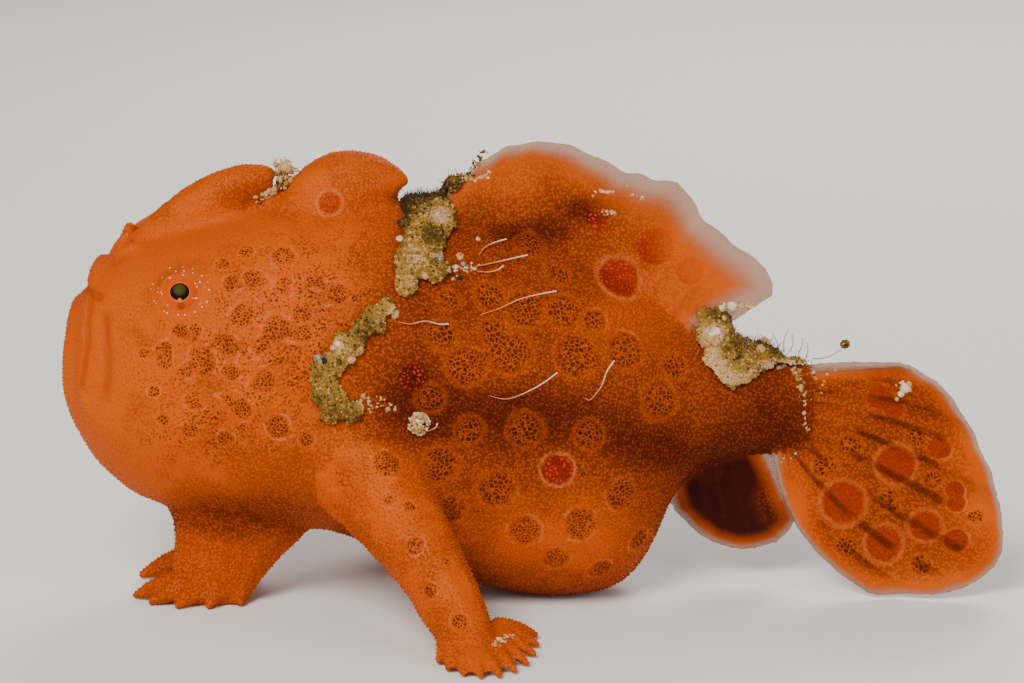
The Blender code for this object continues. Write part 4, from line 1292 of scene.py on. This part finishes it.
# %% Growth recipe
def growth_recipe(kind, material):
    shape = GROWTHS[kind]
    spacing = shape["spacing"] * MM
    recipe = Recipe(kind, Spacing=spacing, Radius=shape["radius"] * MM, Height=FUZZ_HEIGHT, Seed=3)
    offset = recipe.maths("MULTIPLY", recipe.chance(-0.5, 0.5, 7), shape["spread"])
    pale = recipe.maths("ADD", recipe.named("pale"), offset)
    if kind == "fuzz":
        factor, solid = recipe.named("fuzz"), recipe.cone(FUZZ_SIDES)
        pale = recipe.maths("SUBTRACT", pale, DARKER_FUZZ)
    else:
        inputs = dict(Radius=recipe.size("Radius"), Subdivisions=shape["level"])
        factor, solid = 1.0, recipe.node("GeometryNodeMeshIcoSphere", **inputs).outputs["Mesh"]
    scatter = recipe.scatter(spacing, GROWTH_CROWD, Density_Factor=factor)
    points = recipe.store(scatter.outputs["Points"], "pale", pale)
    scale = recipe.chance(shape["low"], shape["high"], 9)
    lean = recipe.chance((-0.5, -0.5, 0), FULL_TURN, kind="FLOAT_VECTOR")
    return recipe.finish(recipe.stand(points, solid, scatter.outputs["Rotation"], lean, scale), material)


print(", ".join(GROWTHS))

# %% Crust colours
crust_paint = Paint("crust", 0.7, 0.25)
pale = crust_paint.attribute("pale") + (crust_paint.noise(MOTTLE, 3) - 0.5) * 0.5
crust_paint.colour = (*BARK, 1)
crust_paint.over(pale.ramp(-0.2, 0.15), (*OLIVE, 1))
for start, tint in ((0.12, GOLD), (0.45, CREAM), (0.80, SHELL_PINK), (1.10, WHITE)):
    crust_paint.over(pale.ramp(start, start + 0.22), (*tint, 1))
crust_paint.over(crust_paint.noise(PITS, 2).ramp(0.56, 0.70) * 0.65, (*BARK, 1))
growths = [growth_recipe(kind, crust_paint.material) for kind in GROWTHS]
print(len(growths), "growths")


# %% Grow the crusts
def grow_crust(name):
    """A crust's solid with its growths, as one piece."""
    bm, _ = joined_copy([name])
    bmesh.ops.subdivide_edges(bm, edges=bm.edges, cuts=1, use_grid_fill=True)
    bmesh.ops.smooth_vert(bm, verts=bm.verts, factor=0.5, use_axis_x=True, use_axis_y=True, use_axis_z=True)
    bmesh.ops.triangulate(bm, faces=bm.faces)
    mesh = as_mesh(bm, name)
    crust_paint.cover(mesh)
    base = new_object(name.replace("crust", "grit"), mesh)
    where = in_photo(folded(points_of(mesh)))
    pale = np.full(len(where), CRUST_PALE)
    for px, py, across, down, paler in CRUST_WASHES:
        pale += paler * np.exp(-(((where[:, 0] - px) / across) ** 2) - ((where[:, 1] - py) / down) ** 2)
    upward = points_of(mesh, "normal")[:, 2]
    fuzz = np.clip(0.30 + 1.6 * (0.3 - pale), 0.10, 1) + 0.25 * (upward > 0.5)
    store_marks(mesh, {"pale": pale, "fuzz": fuzz})
    grown = [growth.grow_on(base, growth.tree.name) for growth in growths]
    bpy.ops.object.select_all(action="DESELECT")
    for obj in (base, *grown):
        obj.select_set(True)
    bpy.context.view_layer.objects.active = base
    bpy.ops.object.join()
    return base


for name in CRUSTS:
    crust = show(grow_crust(name), "golden_crust", name)
    print(crust.name, triangle_count(crust.data), "triangles")

# %% [markdown]
# ## Bait, threads and grit
# The bait sits at the tip of a rod that lies along the second spine. It is a tuft of small knobs and fine
# curls. Pale threads of a hydroid wave from the flank, and single grains of sand stick to the skin. Knobs,
# threads and single grains have their own pixels, and short trails of strewn grains fill the gaps between
# them.

# %% Places of rod and knobs
ROD = [
    (-40.8, 1.6, 30.6), (-39.8, 2.6, 33.5), (-37.4, 3.5, 35.5), (-34.0, 3.7, 37.3), (-30.4, 3.4, 38.9),
    (-27.4, 2.7, 40.1), (-25.4, 1.7, 40.7), (-24.3, 0.4, 40.9),
]
BAIT_LAYER = -0.4 * MM
# Pixel, radius in pixels and colour
# Painted highlights: the white knobs at (276, 161), (286, 160) and (295, 168), on top of the bait
BAIT_KNOBS = [
    (267, 195, 4.2, TAN), (261, 199, 3.4, TAN), (273, 191, 4.2, CREAM), (283, 181, 6.0, TAN),
    (287, 168, 6.0, CREAM), (280, 169, 4.4, SHELL_PINK), (276, 161, 1.8, WHITE), (276, 164, 2.4, CREAM),
    (279, 166, 3.2, CREAM), (283, 165, 3.6, SHELL_PINK), (287, 164, 3.6, CREAM), (286, 160, 1.8, WHITE),
    (282, 170, 3.4, BLUSH), (288, 169, 4.0, CREAM), (291, 168, 2.6, SHELL_PINK), (295, 168, 1.6, WHITE),
    (296, 171, 1.4, CREAM), (292, 173, 2.6, BLUSH), (294, 177, 2.0, TAN), (284, 176, 4.0, GOLD),
    (288, 178, 4.4, TAN), (283, 180, 3.6, OLIVE), (279, 182, 2.6, BARK), (286, 183, 3.4, GOLD),
    (291, 183, 2.6, TAN), (280, 186, 2.8, OLIVE), (285, 188, 2.2, TAN), (276, 187, 3.0, GOLD),
    (277, 193, 2.2, GREY), (272, 190, 2.8, GREY), (268, 191, 3.0, CREAM), (264, 193, 3.2, CREAM),
    (260, 195, 3.0, WHITE), (256, 198, 2.6, CREAM), (262, 197, 2.2, BLUSH), (267, 196, 2.6, TAN),
    (272, 195, 2.2, TAN), (266, 195, 1.4, WHITE), (262, 199, 1.5, CREAM), (257, 202, 1.6, CREAM),
    (253, 205, 1.5, WHITE), (259, 202, 1.8, OLIVE), (251, 204, 1.6, TAN),
]
CURLS = 60
CURLING_KNOBS = 20
CURL_STEPS, CURL_STEP = 3, 0.32 * MM
BALLS_A_KNOB = 3
ROD_RADII, HAIR_RADII, THREAD_RADII = (
    (root * MM, tip * MM) for root, tip in ((0.34, 0.24), (0.05, 0.03), (0.045, 0.065))
)
print(len(BAIT_KNOBS), "knobs in the bait")


# %% Rod and bait
def on_layer(px, py, y):
    """Where a pixel's line of sight crosses the plane at a given y."""
    sight = sight_line(px, py)
    return camera_place + sight * ((y - camera_place.y) / sight.y)


rod, bait = Heap(), Heap()
rod.thread(smooth_line([Vector(point) * MM for point in ROD]), ROD_RADII, (ORANGE[:3], CREAM), 8)
show(rod.make("rod", tint_paint("rod", PRICKLE_ROUGHNESS, SKIN_GLOSS)), "orange_skin")
for px, py, size, tint in BAIT_KNOBS:
    centre = on_layer(px, py, BAIT_LAYER + random.uniform(-0.5, 0.5) * MM)
    for _ in range(BALLS_A_KNOB):
        shift = any_way() * size * PIXEL * 0.6
        bait.ball(centre + shift, size * PIXEL * random.uniform(0.6, 0.95), tint, 0.7, shift, 2, 0.06)
for _ in range(CURLS):
    px, py, size, tint = random.choice(BAIT_KNOBS[:CURLING_KNOBS])
    line = [on_layer(px, py, BAIT_LAYER)]
    for _ in range(CURL_STEPS):
        line.append(line[-1] + any_way().normalized() * CURL_STEP)
    bait.thread(smooth_line(line, 3), HAIR_RADII, (tint, WHITE), 5)
show(bait.make("bait", tint_paint("bait", 0.35, 0.4)), "bait_white", "lure")
print(CURLS, "curls")

# %% Places of threads
# Pixels along each thread
THREADS = [
    [(480, 315), (500, 308), (520, 299), (540, 294), (556, 291)],
    [(490, 396), (505, 399), (520, 395), (540, 385), (557, 373)],
    [(399, 322), (410, 324), (425, 321), (439, 324), (448, 324)],
    [(585, 398), (590, 400), (598, 391), (602, 385), (607, 371), (614, 361)],
    [(469, 268), (487, 264), (505, 260), (527, 255)],
    [(476, 271), (487, 272), (497, 270), (503, 266)],
    [(479, 255), (484, 248), (493, 243), (506, 239)],
    [(424, 432), (431, 430), (436, 427), (437, 424)],
]
FILAMENTS = [
    [(458, 214), (462, 209), (467, 205)], [(470, 219), (475, 213), (480, 207)],
    [(475, 218), (482, 213), (488, 208)], [(468, 224), (471, 219), (475, 213)],
    [(448, 186), (447, 180), (449, 175)], [(454, 184), (457, 176), (456, 170)],
    [(770, 352), (766, 342), (760, 334)], [(778, 352), (777, 342), (772, 333)],
    [(790, 352), (793, 343), (792, 334)], [(798, 354), (802, 346), (803, 338)],
    [(784, 352), (784, 340), (788, 330)], [(806, 358), (808, 350), (807, 343)],
    [(812, 359), (824, 358), (834, 354), (842, 348)],
]
THREAD_LIFT = 0.25 * MM
KNOB_AT_TIP = 0.08 * MM
print(len(THREADS), "threads and", len(FILAMENTS), "filaments")

# %% Places of grains
# Pixel, radius in pixels, colour and flatness
GRAINS = [
    (400, 239, 4.2, WHITE, 0.5), (460, 256, 4.2, CREAM, 0.6), (460, 256, 1.6, BLACK, 1.9),
    (463, 264, 2.4, GREY, 0.8), (456, 267, 2.6, WHITE, 0.7), (460, 278, 3.0, BLACK, 0.8),
    (449, 270, 2.6, CREAM, 0.7), (453, 279, 2.0, CREAM, 0.7), (441, 278, 1.8, CREAM, 0.7),
    (478, 239, 2.6, SHELL_PINK, 0.6), (425, 276, 4.0, CREAM, 0.8), (438, 258, 5.0, GREY, 0.6),
    (425, 209, 1.8, BLACK, 0.8), (433, 191, 1.4, WHITE, 0.8), (412, 258, 1.2, BLACK, 0.8),
    (318, 358, 4.2, GREY, 0.8), (324, 361, 3.4, BLACK, 0.8), (352, 360, 4.2, CREAM, 0.6),
    (360, 351, 5.0, TAN, 0.5), (333, 348, 3.4, SHELL_PINK, 0.8), (338, 344, 2.8, WHITE, 0.8),
    (395, 314, 4.4, CREAM, 0.8), (343, 406, 3.0, GOLD, 0.8), (388, 409, 2.6, TAN, 0.7),
    (329, 390, 1.8, GREY, 0.8), (381, 406, 1.0, SHELL_PINK, 0.8), (472, 268, 1.4, WHITE, 0.8),
    (479, 265, 1.4, SHELL_PINK, 0.8), (732, 306, 5.0, WHITE, 0.5), (722, 308, 4.0, WHITE, 0.5),
    (741, 306, 3.6, CREAM, 0.5), (749, 307, 1.6, WHITE, 0.8), (716, 331, 5.0, WHITE, 0.6),
    (722, 336, 3.6, SHELL_PINK, 0.6), (711, 334, 2.6, WHITE, 0.6), (723, 370, 4.2, CREAM, 0.7),
    (735, 345, 1.6, BLACK, 0.8), (765, 342, 5.4, CREAM, 0.35), (761, 349, 5.0, TAN, 0.35),
    (775, 360, 2.2, GREY, 0.8), (724, 318, 3.0, CREAM, 0.7), (797, 362, 1.6, BARK, 0.8),
    (801, 387, 3.0, CREAM, 0.7), (797, 376, 2.6, GOLD, 0.8), (792, 370, 1.6, SHELL_PINK, 0.8),
    (804, 395, 1.8, CREAM, 0.8), (811, 400, 1.4, TAN, 0.8), (804, 413, 2.4, SHELL_PINK, 0.8),
    (813, 373, 1.6, SHELL_PINK, 0.8), (835, 370, 2.0, TAN, 0.6), (905, 388, 5.4, WHITE, 0.4),
    (901, 394, 3.4, WHITE, 0.4), (897, 399, 2.4, CREAM, 0.8), (909, 384, 3.0, CREAM, 0.4),
    (601, 191, 2.2, SHELL_PINK, 0.5), (607, 192, 1.6, WHITE, 0.5), (642, 197, 1.4, WHITE, 0.6),
    (593, 196, 1.4, SHELL_PINK, 0.5), (612, 213, 2.0, SHELL_PINK, 0.5), (627, 186, 1.2, CREAM, 0.6),
    (500, 640, 4.4, WHITE, 0.4), (506, 636, 3.0, SHELL_PINK, 0.4), (494, 645, 2.4, SHELL_PINK, 0.4),
]
# Strewn grains: first and last pixel, half width in pixels, how many, and their colours
TRAILS = [
    ((448, 190), (472, 172), 6.5, 70, (OLIVE, OLIVE, GOLD, CREAM, BARK)),
    ((470, 174), (486, 150), 4.5, 45, (OLIVE, GOLD, CREAM, BARK)),
    ((478, 178), (490, 174), 3.5, 16, (WHITE, CREAM, SHELL_PINK)),
    ((718, 305), (750, 308), 3.0, 40, (WHITE, CREAM, SHELL_PINK, GOLD)),
    ((704, 328), (722, 338), 4.0, 26, (WHITE, SHELL_PINK, CREAM)),
    ((752, 370), (808, 362), 4.0, 60, (SHELL_PINK, CREAM, OLIVE, GREY)),
    ((794, 364), (803, 398), 4.5, 60, (SHELL_PINK, GOLD, CREAM, OLIVE)),
    ((803, 398), (808, 432), 3.0, 14, (SHELL_PINK, CREAM)),
    ((800, 450), (782, 462), 4.0, 10, (SHELL_PINK, OLIVE)),
    ((812, 372), (826, 392), 8.0, 12, (SHELL_PINK, TAN)),
    ((898, 382), (911, 390), 4.0, 18, (WHITE, WHITE, CREAM)),
    ((452, 268), (478, 270), 6.0, 26, (SHELL_PINK, WHITE, CREAM, TAN)),
    ((596, 190), (612, 192), 3.0, 12, (SHELL_PINK, WHITE)),
    ((602, 212), (618, 213), 3.0, 12, (SHELL_PINK, TAN)),
    ((630, 196), (644, 198), 2.5, 6, (WHITE, SHELL_PINK)),
    ((492, 645), (512, 634), 4.0, 22, (WHITE, SHELL_PINK, CREAM)),
    ((376, 398), (391, 410), 6.0, 14, (TAN, SHELL_PINK, CREAM)),
    ((360, 392), (372, 412), 5.0, 20, (SHELL_PINK, CREAM, TAN)),
]
# Radii of strewn grains and of the button's, in pixels
STREWN, BUTTON_GRAINS = (0.7, 1.9), (1.0, 2.1)
# Pixel, radius in pixels, and how many grains
BUTTON, OLIVE_BALL = (419, 424, 11.0, 150), (845, 344, 4.6, 40)
BUTTON_TINTS = [(0.45, (SNOW, CREAM, CREAM)), (0.8, (GOLD, CREAM, TAN)), (2.0, (SHELL_PINK, WHITE, CREAM))]
print(len(GRAINS), "single grains,", sum(trail[3] for trail in TRAILS), "strewn")

# %% Draw the threads
crusts, _ = joined_copy(CRUSTS)
crusts_tree = BVHTree.FromBMesh(crusts)
crusts.free()


def on_fish(px, py, lift=0.0):
    """Where a line of sight first meets skin or crust, raised towards the camera, and the normal there."""
    sight = sight_line(px, py)
    hits = [tree.ray_cast(camera_place, sight) for tree in (skin_tree, crusts_tree)]
    hits = [hit for hit in hits if hit[0]]
    if not hits:
        return on_layer(px, py, 0.0), -sight
    place, normal, _, _ = min(hits, key=lambda hit: hit[3])
    return place - sight * lift, normal


threads = Heap()
for pixels in THREADS:
    line = [on_fish(px, py, THREAD_LIFT * (0.4 + k))[0] for k, (px, py) in enumerate(pixels)]
    threads.thread(smooth_line(line), THREAD_RADII, (FLUSH, SNOW), 6)
    threads.ball(line[-1], KNOB_AT_TIP, SNOW, smooth=1)
for pixels in FILAMENTS:
    line = [on_fish(px, py, THREAD_LIFT * 2)[0] for px, py in pixels]
    threads.thread(smooth_line(line), HAIR_RADII, (OLIVE, BARK), 5)
show(threads.make("threads", thread_material), "bait_white")
print(len(threads.points), "points in the threads")

# %% Strew the grains
grains = Heap()
for px, py, size, tint, flat in GRAINS:
    place, normal = on_fish(px, py)
    grains.ball(place, size * PIXEL, tint, flat, normal, 2, 0.14)
for start, end, spread, count, tints in TRAILS:
    for _ in range(count):
        share = random.random()
        px, py = (a + (b - a) * share + random.gauss(0, spread / 2) for a, b in zip(start, end))
        place, normal = on_fish(px, py)
        grains.ball(place, random.uniform(*STREWN) * PIXEL, random.choice(tints), 0.7, normal, 1, 0.2)
px, py, size, count = BUTTON
for _ in range(count):
    angle, out = random.uniform(0, 2 * math.pi), math.sqrt(random.random())
    rise = math.sqrt(1 - out**2) * 0.6 * size * PIXEL
    place, normal = on_fish(px + size * out * math.cos(angle), py + size * out * math.sin(angle), rise)
    tints = next(tints for reach, tints in BUTTON_TINTS if out < reach)
    grains.ball(place, random.uniform(*BUTTON_GRAINS) * PIXEL, random.choice(tints), 0.8, normal, 1, 0.2)
px, py, size, count = OLIVE_BALL
ball_centre = on_layer(px, py, 0.0)
for _ in range(count):
    out = Vector([random.gauss(0, 1) for _ in range(3)]).normalized()
    tint = random.choice((OLIVE, GOLD, OLIVE))
    grains.ball(ball_centre + out * size * PIXEL * 0.8, size * PIXEL * 0.35, tint, 1, out, 1, 0.2)
show(grains.make("grains", grit_material, False), "golden_crust")
print(len(grains.faces), "triangles in the grains")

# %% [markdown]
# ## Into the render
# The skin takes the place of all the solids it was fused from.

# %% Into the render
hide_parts(*SKIN_NODES)
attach(skin, "root")
